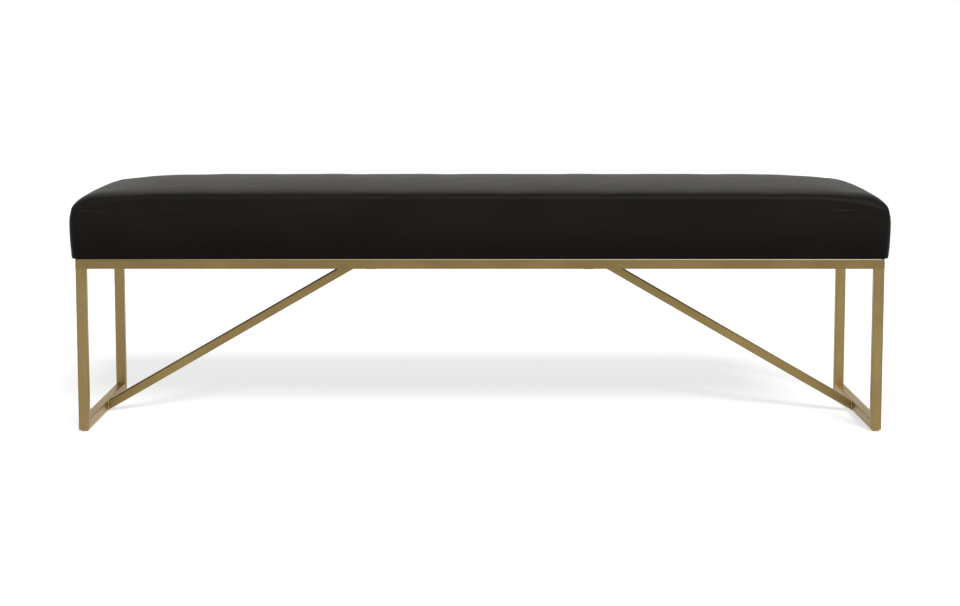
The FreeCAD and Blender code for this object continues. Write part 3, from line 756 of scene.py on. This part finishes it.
def openUnderside(piece):
    # the leather ends under the deck, so the middle of the underside is open
    windowX = seat["halfLength"] - seat["tuck"] - cover["turnIn"]
    windowY = seat["halfDepth"] - seat["tuck"] - cover["turnIn"]

    def inWindow(face):
        spot = face.calc_center_median()
        flat = spot.z < seat["bottom"] + cover["flatUnder"]
        return flat and abs(spot.x) < windowX and abs(spot.y) < windowY

    withoutFaces(piece, inWindow)
    return smoothed(bakeModifiers(thicken(piece, cover["thickness"])))


coverPiece = openUnderside(leatherCover())
paint(coverPiece, smoothLeather())
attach(coverPiece, "bench")
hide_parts("seat_cover")
print("leather cover finished")


# wadding and foam under the leather

padding = {
    "deckTop": 0.0166,
    "waddingInset": 0.0042,
    "waddingThickness": 0.0065,
    "foamGap": 0.0014,
    "foamLift": 0.0004,
    "lumps": 0.0004,
    "cell": 0.024,
    "edgeSteps": (4, 4, 4),
}


def waddingLayer():
    base = padding["deckTop"]
    points, faces = seatGrid(padding["waddingInset"], base, padding["cell"], padding["edgeSteps"])
    floor = seat["bottom"] + base + 0.0005
    piece = meshObject("wadding_layer", points, faces)
    withoutFaces(piece, lambda face: all(v.co.z < floor for v in face.verts))
    lumps = readPoints(piece.data)
    sway = np.sin(lumps[:, 0] * 31 + 1) * np.sin(lumps[:, 1] * 43 + 2) * np.sin(lumps[:, 2] * 57)
    sunk = padding["lumps"] * (1 + sway)
    writePoints(piece.data, lumps - readNormals(piece.data) * sunk[:, None])
    return subdivide(thicken(piece, padding["waddingThickness"]))


def foamBlock():
    inset = padding["waddingInset"] + padding["waddingThickness"] + padding["foamGap"]
    base = padding["deckTop"] + padding["foamLift"]
    points, faces = seatGrid(inset, base, padding["cell"], padding["edgeSteps"])
    return subdivide(meshObject("foam_block", points, faces))


waddingPiece = paint(waddingLayer(), looseFibre())
foamPiece = paint(foamBlock(), openFoam())
for piece, node, slot, fill in ((waddingPiece, "wadding", "seat_wadding", 0.7),
                                (foamPiece, "foam_core", "seat_foam", 1.0)):
    smoothed(piece)
    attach(piece, "bench")
    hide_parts(node)
print("wadding and foam finished")


# dust cover: thin cloth drawn flat under the deck, a little loose between its staples

dustCloth = {
    "cells": (96, 32),
    "thickness": 0.0004,
    "sag": 0.0009,
    "pucker": 0.0004,
    "firm": 0.06,           # width of the taut border
}


def dustSheet():
    low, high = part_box("dust_cover")
    across, deep = dustCloth["cells"]
    points = []
    for i in range(across + 1):
        for j in range(deep + 1):
            u, v = i / across, j / deep
            x = low.x + (high.x - low.x) * u
            y = low.y + (high.y - low.y) * v
            edge = min(u, 1 - u) * (high.x - low.x)
            edge = min(edge, min(v, 1 - v) * (high.y - low.y))
            loose = min(edge / dustCloth["firm"], 1)
            wave = math.sin(x * 46 + 3 * math.sin(y * 9)) * math.cos(y * 31 + 1.3)
            ripple = math.sin(x * 59.2) if abs(y) > 0.15 else math.sin(y * 60)
            drop = dustCloth["sag"] * loose * (0.75 + 0.25 * wave)
            drop += dustCloth["pucker"] * (1 - loose) * (0.5 + 0.5 * ripple) * min(edge / 0.004, 1)
            points.append((x, y, high.z - drop))
    row = deep + 1
    faces = [(i * row + j, i * row + j + 1, (i + 1) * row + j + 1, (i + 1) * row + j)
             for i in range(across) for j in range(deep)]
    piece = meshObject("dust_cloth", points, faces)
    return bakeModifiers(thicken(piece, dustCloth["thickness"], 1))


dustPiece = paint(dustSheet(), feltedCloth())
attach(dustPiece, "bench")
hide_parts("dust_cover")
print("dust cover finished")


# fixings that repeat, placed by geometry nodes

def newTree(name, values):
    # one input for each value, where whole numbers are counts and seeds
    tree = bpy.data.node_groups.new(name, "GeometryNodeTree")
    ownTrees.append(tree)
    for label, value in values.items():
        kind = "NodeSocketInt" if isinstance(value, int) else "NodeSocketFloat"
        socket = tree.interface.new_socket(label, in_out="INPUT", socket_type=kind)
        socket.default_value = value
    tree.interface.new_socket("Geometry", in_out="OUTPUT", socket_type="NodeSocketGeometry")
    return tree, addNode(tree, "NodeGroupInput").outputs


def placeCopies(points, shape, angle):
    tree = points.id_data
    source = feed(addNode(tree, "GeometryNodeObjectInfo"), Object=shape)
    placed = addNode(tree, "GeometryNodeInstanceOnPoints")
    feed(placed, Points=points, Instance=source.outputs["Geometry"], Rotation=vectorOf(tree, Z=angle))
    return placed.outputs[0]


def finishTree(geometry, material):
    tree = geometry.id_data
    solid = feed(addNode(tree, "GeometryNodeRealizeInstances"), Geometry=geometry)
    coat = feed(addNode(tree, "GeometryNodeSetMaterial"), Geometry=solid.outputs[0], Material=material)
    feed(addNode(tree, "NodeGroupOutput"), Geometry=coat.outputs[0])
    return tree


def runTree(name, tree, shape):
    carrier = meshObject(name, [], [])
    carrier.modifiers.new("Placed", "NODES").node_group = tree
    bakeModifiers(carrier)
    bpy.data.objects.remove(shape)
    return carrier


staple = {
    "crown": 0.010,
    "leg": 0.0085,
    "wire": 0.0005,
    "band": 0.0012,
    "bend": 0.0009,
    "tilt": 0.10,
    "margin": 0.045,
    "railInside": 0.735,    # the margin is measured from here
}


def stapleShape():
    # flat wire bent to a crown and two legs, its crown at z = 0
    half, bend = staple["crown"] / 2, staple["bend"]
    path = [(-half, staple["leg"])]
    path += [(-half + bend * (1 - math.cos(a)), bend * (1 - math.sin(a)))
             for a in (0, math.pi / 6, math.pi / 3, math.pi / 2)]
    path += [(-x, z) for x, z in reversed(path)]
    points, faces = [], []
    for i, (x, z) in enumerate(path):
        before = Vector(path[max(i - 1, 0)])
        after = Vector(path[min(i + 1, len(path) - 1)])
        way = (after - before).normalized()
        inward = Vector((-way.y, way.x)) * staple["wire"]
        for side in (-1, 1):
            y = side * staple["band"] / 2
            points.append((x, y, z))
            points.append((x + inward.x, y, z + inward.y))
    for a in range(0, 4 * (len(path) - 1), 4):
        b = a + 4
        faces += [(a, a + 2, b + 2, b), (a + 1, b + 1, b + 3, a + 3)]
        faces += [(a, b, b + 1, a + 1), (a + 2, a + 3, b + 3, b + 2)]
    faces += [(0, 1, 3, 2), (b, b + 2, b + 3, b + 1)]
    return outwards(meshObject("staple_shape", points, faces, smooth=False))


def stapleTree(shape, values):
    tree, inputs = newTree("staple_rows", values)
    joined = addNode(tree, "GeometryNodeJoinGeometry")
    reachX = maths(tree, "SUBTRACT", inputs["Half Length"], inputs["Margin"])
    reachY = maths(tree, "SUBTRACT", inputs["Half Depth"], inputs["Margin"])

    def signed(value, sign):
        return value if sign == 1 else maths(tree, "MULTIPLY", value, sign)

    for side in (-1, 1):
        for turned in (False, True):
            ends = []
            for sign in (-1, 1):
                if turned:
                    x, y = signed(inputs["Half Length"], side), signed(reachY, sign)
                else:
                    x, y = signed(reachX, sign), signed(inputs["Half Depth"], side)
                ends.append(vectorOf(tree, X=x, Y=y, Z=inputs["Height"]))
            line = addNode(tree, "GeometryNodeMeshLine", mode="END_POINTS")
            count = inputs["Short Count" if turned else "Long Count"]
            feed(line, Count=count, Start_Location=ends[0], Offset=ends[1])
            chance = feed(addNode(tree, "FunctionNodeRandomValue", data_type="FLOAT"), Seed=inputs["Seed"])
            base = math.pi / 2 if turned else 0
            for index, sign in ((2, -1), (3, 1)):
                connect(chance.inputs[index], maths(tree, "MULTIPLY_ADD", inputs["Tilt"], sign, base))
            connect(joined.inputs[0], placeCopies(line.outputs[0], shape, chance.outputs[1]))
    return finishTree(joined.outputs[0], stapleWire)


def stapleRows(name, node, longCount, shortCount, seed):
    low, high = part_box(node)
    shape = stapleShape()
    piece = runTree(name, stapleTree(shape, {
        "Half Length": high.x - staple["band"] / 2,
        "Half Depth": high.y - staple["band"] / 2,
        "Margin": staple["margin"] - (staple["railInside"] - high.x),
        "Height": low.z,
        "Long Count": longCount,
        "Short Count": shortCount,
        "Tilt": staple["tilt"],
        "Seed": seed,
    }), shape)
    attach(piece, "bench")
    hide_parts(node)
    return piece


stapleRows("leather_staples", "cover_staples", 25, 7, 5)
stapleRows("cloth_staples", "dust_staples", 14, 4, 11)
print("staples finished")


screw = {
    "headRadius": 0.0056,
    "headHeight": 0.0036,
    "domeShare": 0.72,      # nearly flat part of the head's radius
    "domeRise": 0.00025,
    "shoulder": 0.0018,
    "chamfer": 0.0003,
    "shankRadius": 0.00295,
    "rootRadius": 0.00245,
    "length": 0.020,
    "pitch": 0.0010,
    "recess": 0.0036,
    "recessWidth": 0.0012,
    "recessDepth": 0.0018,
    "recessTaper": 0.45,
    "recessTurn": 20,
    "segments": 28,
    "shankSegments": 20,
}


def tubeFaces(i, n, segments):
    # the quads between ring i and ring n
    turns = [(j, (j + 1) % segments) for j in range(segments)]
    return [(i * segments + j, i * segments + k, n * segments + k, n * segments + j) for j, k in turns]


def threadedRod(radius, root, length, segments, perTurn=5):
    # rings that follow the thread's helix; the last turn fades into a blunt end
    pitch = screw["pitch"]
    rings = int(length / pitch * perTurn)
    points, faces = [], []
    for i in range(rings + 1):
        z = length * i / rings
        fade = min(1, (length - z) / pitch)
        for j in range(segments):
            phase = (z / pitch - j / segments) % 1
            crest = 1 - abs(2 * phase - 1)
            r = root + (radius - root) * crest
            r = root * 0.92 + (r - root * 0.92) * fade
            angle = 2 * math.pi * j / segments
            points.append((r * math.cos(angle), r * math.sin(angle), z))
    for i in range(rings):
        faces += tubeFaces(i, i + 1, segments)
    faces.append(tuple(range(segments - 1, -1, -1)))
    faces.append(tuple(rings * segments + j for j in range(segments)))
    return points, faces


def turnedProfile(profile, segments):
    # closed solid of revolution from (radius, height) pairs, from axis to axis
    points, faces, rings = [], [], []
    for r, z in profile:
        if r == 0:
            rings.append([len(points)] * segments)
            points.append((0, 0, z))
            continue
        rings.append(list(range(len(points), len(points) + segments)))
        turns = [2 * math.pi * j / segments for j in range(segments)]
        points += [(r * math.cos(angle), r * math.sin(angle), z) for angle in turns]
    for low, high in zip(rings, rings[1:]):
        for j in range(segments):
            k = (j + 1) % segments
            loop = [low[j], low[k], high[k], high[j]]
            faces.append([v for i, v in enumerate(loop) if v not in loop[:i]])
    return points, faces


def recessCutter(turn):
    cutter = meshObject("recess", [], [])

    def shapeCutter(tool):
        size = (2 * screw["recess"], screw["recessWidth"], 2 * screw["recessDepth"])
        bmesh.ops.create_cube(tool, size=1)
        bmesh.ops.scale(tool, vec=size, verts=tool.verts)
        for vertex in tool.verts:
            if vertex.co.z > 0:
                vertex.co.x *= screw["recessTaper"]
        rotation = Matrix.Rotation(math.radians(turn + screw["recessTurn"]), 3, "Z")
        bmesh.ops.rotate(tool, matrix=rotation, verts=tool.verts)
        bmesh.ops.translate(tool, vec=(0, 0, -screw["headHeight"]), verts=tool.verts)

    return reshaped(cutter, shapeCutter)


def screwShape():
    radius, height, rise = screw["headRadius"], screw["headHeight"], screw["domeRise"]
    flat, chamfer = radius * screw["domeShare"], screw["chamfer"]
    profile = [(0, -height)]
    for i in range(1, 6):
        profile.append((flat * i / 5, -height + rise * (i / 5) ** 2))
    for angle in (20, 45, 70, 90):
        a = math.radians(angle)
        z = -height + rise + screw["shoulder"] * (1 - math.cos(a))
        profile.append((flat + (radius - flat) * math.sin(a), z))
    profile += [(radius, -chamfer), (radius - chamfer, 0), (0, 0)]
    head = meshObject("screw_shape", *turnedProfile(profile, screw["segments"]))
    cutters = [recessCutter(turn) for turn in (0, 90)]
    for cutter in cutters:
        cut = head.modifiers.new("Recess", "BOOLEAN")
        cut.operation = "DIFFERENCE"
        cut.object = cutter
        cut.solver = "EXACT"
    bakeModifiers(head)
    for cutter in cutters:
        bpy.data.objects.remove(cutter)
    rod, rodFaces = threadedRod(screw["shankRadius"], screw["rootRadius"], screw["length"],
                                screw["shankSegments"])

    def addRod(shell):
        verts = [shell.verts.new(p) for p in rod]
        for face in rodFaces:
            shell.faces.new([verts[i] for i in face])

    return outwards(reshaped(head, addRod))


def screwTree(shape, values):
    tree, inputs = newTree("screw_places", values)
    grid = addNode(tree, "GeometryNodeMeshGrid")
    feed(grid, Size_X=inputs["Length"], Size_Y=inputs["Depth"])
    feed(grid, Vertices_X=inputs["Along"], Vertices_Y=inputs["Across"])
    lift = addNode(tree, "GeometryNodeTransform")
    feed(lift, Geometry=grid.outputs[0], Translation=vectorOf(tree, Z=inputs["Height"]))
    chance = feed(addNode(tree, "FunctionNodeRandomValue", data_type="FLOAT"), Seed=inputs["Seed"])
    chance.inputs[3].default_value = 6.283
    return finishTree(placeCopies(lift.outputs[0], shape, chance.outputs[1]), blackZinc)


screwLow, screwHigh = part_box("seat_screws")
screwSource = screwShape()
screwPiece = runTree("machine_screws", screwTree(screwSource, {
    "Length": screwHigh.x - screwLow.x - 2 * screw["headRadius"],
    "Depth": screwHigh.y - screwLow.y - 2 * screw["headRadius"],
    "Along": 3,
    "Across": 2,
    "Height": screwLow.z + screw["headHeight"],
    "Seed": 4,
}), screwSource)
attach(screwPiece, "bench")
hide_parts("seat_screws")
print("screws finished")


# levelling feet: turned brass base and its threaded stud

foot = {
    "radius": 0.0076,
    "thickness": 0.0021,
    "socket": 0.00504,
    "socketDepth": 0.0008,
    "edge": 0.0006,
    "shoulder": [(0, -0.0004), (-0.0002, -0.0001), (-0.0005, 0)],
    "studRadius": 0.00296,
    "studRoot": 0.00245,
    "studLength": 0.020,
    "segments": 40,
    "studSegments": 24,
    "sharp": math.radians(35),
}


def levellingFoot(corner):
    node = "foot_base_" + corner
    low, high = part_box(node)
    middle = (low + high) / 2
    radius, edge, bottom = foot["radius"], foot["edge"], -foot["thickness"]
    profile = [(0, bottom + foot["socketDepth"]), (foot["socket"], bottom + foot["socketDepth"]),
               (foot["socket"], bottom), (radius - edge, bottom)]
    for angle in (22, 45, 67, 90):
        a = math.radians(angle)
        profile.append((radius - edge * (1 - math.sin(a)), bottom + edge * (1 - math.cos(a))))
    profile += [(radius + out, z) for out, z in foot["shoulder"]]
    points, faces = turnedProfile(profile + [(0, 0)], foot["segments"])
    rod, rodFaces = threadedRod(foot["studRadius"], foot["studRoot"], foot["studLength"],
                                foot["studSegments"])
    count = len(points)
    faces = [list(f) for f in faces] + [[i + count for i in f] for f in rodFaces]
    points = [(x + middle.x, y + middle.y, z + low.z - bottom) for x, y, z in points + rod]
    piece = outwards(meshObject("levelling_foot_" + corner, points, faces))
    paint(piece, turnedBrass, zincPlate)
    for polygon in piece.data.polygons:
        if polygon.vertices[0] >= count:
            polygon.material_index = 1
    piece.data.set_sharp_from_angle(angle=foot["sharp"])
    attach(piece, "foot_" + corner)
    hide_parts(node)
    return piece


for corner in ("front_left", "front_right", "back_left", "back_right"):
    levellingFoot(corner)
print("feet finished")


# weld beads where the tubes meet

weld = {
    "radius": 0.0009,
    "ripple": 0.00012,
    "ripplesPerMetre": 900,
    "step": 0.0015,
    "segments": 6,
    "ground": 0.0003,       # underneath the cross rails the beads are ground away
    "tubeHalf": 0.0095,
    "braceHalf": 0.0085,
    "corner": 0.002,
    "bandCorner": 0.0015,
    "bandStep": 0.019,
    "bandFlat": 0.0006,
    "band": [(-0.0013, -0.00020), (-0.0010, 0.00005), (0.0010, 0.00005), (0.0013, -0.00020)],
}


def roundedLoop(halfU, halfV, radius, step):
    # closed rounded rectangle as even points
    line = []
    for quarter, (su, sv) in enumerate(((1, -1), (1, 1), (-1, 1), (-1, -1))):
        start = (su * (halfU - radius), sv * (halfV - radius))
        for i in range(4):
            a = math.radians(-90 + 90 * quarter + 30 * i)
            line.append((start[0] + radius * math.cos(a), start[1] + radius * math.sin(a)))
    out = []
    for a, b in zip(line, line[1:] + line[:1]):
        count = max(1, round(math.dist(a, b) / step))
        out += [(a[0] + (b[0] - a[0]) * i / count, a[1] + (b[1] - a[1]) * i / count) for i in range(count)]
    return out


def beadLoop(centre, axisU, axisV, halfU, halfV):
    loop = roundedLoop(halfU, halfV, weld["corner"], weld["step"])
    centre, axisU, axisV = Vector(centre), Vector(axisU), Vector(axisV)
    across = axisU.cross(axisV)
    path = [centre + axisU * u + axisV * v for u, v in loop]
    points, faces = [], []
    count, segments = len(path), weld["segments"]
    travelled = 0
    for i, spot in enumerate(path):
        way = (path[(i + 1) % count] - path[i - 1]).normalized()
        outward = way.cross(across).normalized()
        travelled += (spot - path[i - 1]).length
        size = weld["radius"] + weld["ripple"] * math.sin(travelled * weld["ripplesPerMetre"])
        for j in range(segments):
            a = 2 * math.pi * j / segments
            points.append(spot + (outward * math.cos(a) + across * math.sin(a)) * size)
        faces += tubeFaces(i, (i + 1) % count, segments)
    return points, faces


def weldBeads():
    half, rail = weld["braceHalf"], weld["tubeHalf"]
    tall = half / math.cos(brass["braceSlope"])
    spots = []
    for side, node in ((-1, "brace_left"), (1, "brace_right")):
        low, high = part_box(node)
        outerX, innerX = (low.x, high.x) if side < 0 else (high.x, low.x)
        for spot in ((outerX, 0, low.z + tall), (innerX, 0, high.z - tall)):
            spots.append((0, spot, (0, 1, 0), (0, 0, 1), half, tall))
    for node in ("cross_rail_left", "cross_rail_right"):
        low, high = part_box(node)
        middle = (low + high) / 2
        for y in (low.y, high.y):
            spot = (middle.x, y, middle.z)
            spots.append((low.z + weld["ground"], spot, (1, 0, 0), (0, 0, 1), rail, rail))
    points, faces = [], []
    for ground, *loop in spots:
        bead, beadFaces = beadLoop(*loop)
        faces += [[i + len(points) for i in f] for f in beadFaces]
        points += [(x, y, max(z, ground)) for x, y, z in bead]
    return outwards(meshObject("weld_beads", points, faces))


def groundWelds():
    # flush bands where the legs meet the top rails, ground level with the tubes
    points, faces = [], []
    half = weld["tubeHalf"]
    loop = roundedLoop(half, half, weld["bandCorner"], weld["bandStep"])
    for name in ("leg_front_left", "leg_front_right", "leg_back_left", "leg_back_right"):
        low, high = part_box(name)
        middle = (low + high) / 2
        first = len(points)
        for u, v in loop:
            flat = [abs(side) > half - weld["bandFlat"] for side in (u, v)]
            if not any(flat):
                flat = [True, True]
            outward = Vector((math.copysign(flat[0], u), math.copysign(flat[1], v))).normalized()
            for rise, proud in weld["band"]:
                x, y = middle.x + u + outward.x * proud, middle.y + v + outward.y * proud
                points.append((x, y, high.z + rise))
        for i in range(len(loop)):
            n = (i + 1) % len(loop)
            for j in range(4):
                k = (j + 1) % 4
                faces.append((first + i * 4 + j, first + n * 4 + j, first + n * 4 + k, first + i * 4 + k))
    return outwards(meshObject("ground_welds", points, faces, smooth=False))


# a painted highlight along the front rail's upper edge
railGlint = {
    "low": 0.0019,          # under the top of the rail
    "high": 0.0007,
    "proud": 0.00005,
    "depth": 0.0016,
    "inset": 0.006,
    "fade": (0.03, 0.28, 0.55, 0.75),
    "shades": ((0.15, 0.118, 0.085), (0.40, 0.34, 0.25), (0.62, 0.54, 0.41), (0.78, 0.68, 0.53)),
    "roughness": (0.28, 0.40),
}


def glintBrass():
    # painted highlight: pale brass, brighter towards one end of the rail
    low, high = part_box("top_rail_front")
    material, tree, shader = newMaterial("painted_glint_brass", railGlint["shades"][-1])
    along = spread(axisOf(objectMapping(tree), "X"), 0, 1, low.x, high.x)
    glintNoise = noise(objectMapping(tree, (1, 0.2, 0.2)), 60, 3, 0.6)
    colour = ramp(blendFactors(along, glintNoise, 0.08), railGlint["fade"], railGlint["shades"])
    feed(shader, Base_Color=colour, Metallic=1.0, Roughness=spread(glintNoise, *railGlint["roughness"]))
    return material


def glintEdge():
    # a painted highlight: a pale strip along the front rail's upper edge, under the seat
    low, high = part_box("top_rail_front")
    front, back = low.y - railGlint["proud"], low.y + railGlint["depth"]
    under, over = high.z - railGlint["low"], high.z - railGlint["high"]
    profile = [(front, under), (front, over), (back, over), (back, under)]
    ends = (low.x + railGlint["inset"], high.x - railGlint["inset"])
    points = [(x, y, z) for x in ends for y, z in profile]
    faces = [(0, 1, 5, 4), (1, 2, 6, 5), (2, 3, 7, 6), (3, 0, 4, 7), (3, 2, 1, 0), (4, 5, 6, 7)]
    return outwards(meshObject("burnished_edge", points, faces, smooth=False))


glintPiece = paint(glintEdge(), glintBrass())
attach(glintPiece, "bench")
groundPiece = paint(groundWelds(), brassAlongZ)
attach(groundPiece, "bench")
weldPiece = paint(weldBeads(), turnedBrass)
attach(weldPiece, "bench")
print("weld beads finished")


# studio: white floor, soft light from the front right, bright background

studio = {
    "floorSize": 14,
    "floorColour": 0.68,
    "floorLift": 0.64,
    "keyFrom": (0.38, -1.33, 1.0),
    "keyStrength": 2.5,
    "keyAngle": 20,
    "fillFront": 0.24,
    "fillBack": 0.28,
    "fillFade": (-0.7, 0.5),
    "topGlow": 0.06,
    "topFade": (0.4, 0.9),
}


def seenDirectly(tree):
    # 1 for what the camera sees, also by way of a mirror or through glass
    rays = addNode(tree, "ShaderNodeLightPath").outputs
    total = rays["Is Camera Ray"]
    for kind in ("Is Glossy Ray", "Is Transmission Ray"):
        total = maths(tree, "MAXIMUM", total, rays[kind])
    return total


def studioFloor():
    half = studio["floorSize"] / 2
    corners = [(-half, -half, 0), (half, -half, 0), (half, half, 0), (-half, half, 0)]
    floor = meshObject("studio_floor", corners, [(0, 1, 2, 3)], smooth=False)
    material, tree, shader = newMaterial("white_floor", white)
    grey = [studio["floorColour"]] * 3
    feed(shader, Base_Color=(*grey, 1), Roughness=1.0, Specular_IOR_Level=0.0)
    lift = maths(tree, "MULTIPLY", seenDirectly(tree), studio["floorLift"])
    glow = feed(addNode(tree, "ShaderNodeEmission"), Strength=lift)
    both = feedInOrder(addNode(tree, "ShaderNodeAddShader"), shader.outputs[0], glow.outputs[0])
    for node in tree.nodes:
        if node.type == "OUTPUT_MATERIAL":
            feed(node, Surface=both)
    paint(floor, material)
    return floor


def studioWorld():
    world = bpy.data.worlds.new("studio_light")
    world.use_nodes = True
    bpy.context.scene.world = world
    tree = world.node_tree
    tree.nodes.clear()
    ownTrees.append(tree)
    way = addNode(tree, "ShaderNodeTexCoord").outputs["Generated"]
    fill = studio["fillFront"], studio["fillBack"]
    wash = spread(axisOf(way, "Y"), *fill, *studio["fillFade"], "SMOOTHSTEP")
    above = spread(axisOf(way, "Z"), 0, studio["topGlow"], *studio["topFade"], "SMOOTHSTEP")
    soft, plain = [feed(addNode(tree, "ShaderNodeBackground"), Color=(*white, 1)) for part in range(2)]
    feed(soft, Strength=maths(tree, "ADD", wash, above))
    choice = addNode(tree, "ShaderNodeMixShader")
    choice = feedInOrder(choice, seenDirectly(tree), soft.outputs[0], plain.outputs[0])
    feed(addNode(tree, "ShaderNodeOutputWorld"), Surface=choice)


def keyLight():
    lamp = bpy.data.lights.new("front_window", "SUN")
    lamp.energy = studio["keyStrength"]
    lamp.angle = math.radians(studio["keyAngle"])
    light = bpy.data.objects.new("front_window", lamp)
    light.rotation_mode = "QUATERNION"
    light.rotation_quaternion = Vector(studio["keyFrom"]).to_track_quat("Z", "Y")
    light.location = Vector(studio["keyFrom"]) * 2
    bpy.context.scene.collection.objects.link(light)


studioFloor()
studioWorld()
keyLight()

camera = {
    "lens": 80.63,
    "place": (0.0, -4.2025, 0.74935),
    "pitch": 6.608,
    "shift": -0.0245,
}
lens = bpy.data.cameras.new("view")
lens.lens = camera["lens"]
lens.sensor_width = 36
lens.shift_y = camera["shift"]
viewer = bpy.data.objects.new("view", lens)
viewer.location = camera["place"]
viewer.rotation_euler = (math.radians(90 - camera["pitch"]), 0, 0)
bpy.context.scene.collection.objects.link(viewer)
bpy.context.scene.camera = viewer
bpy.context.scene.view_settings.view_transform = "Standard"
print("studio finished")

for tree in ownTrees:
    arrange(tree)
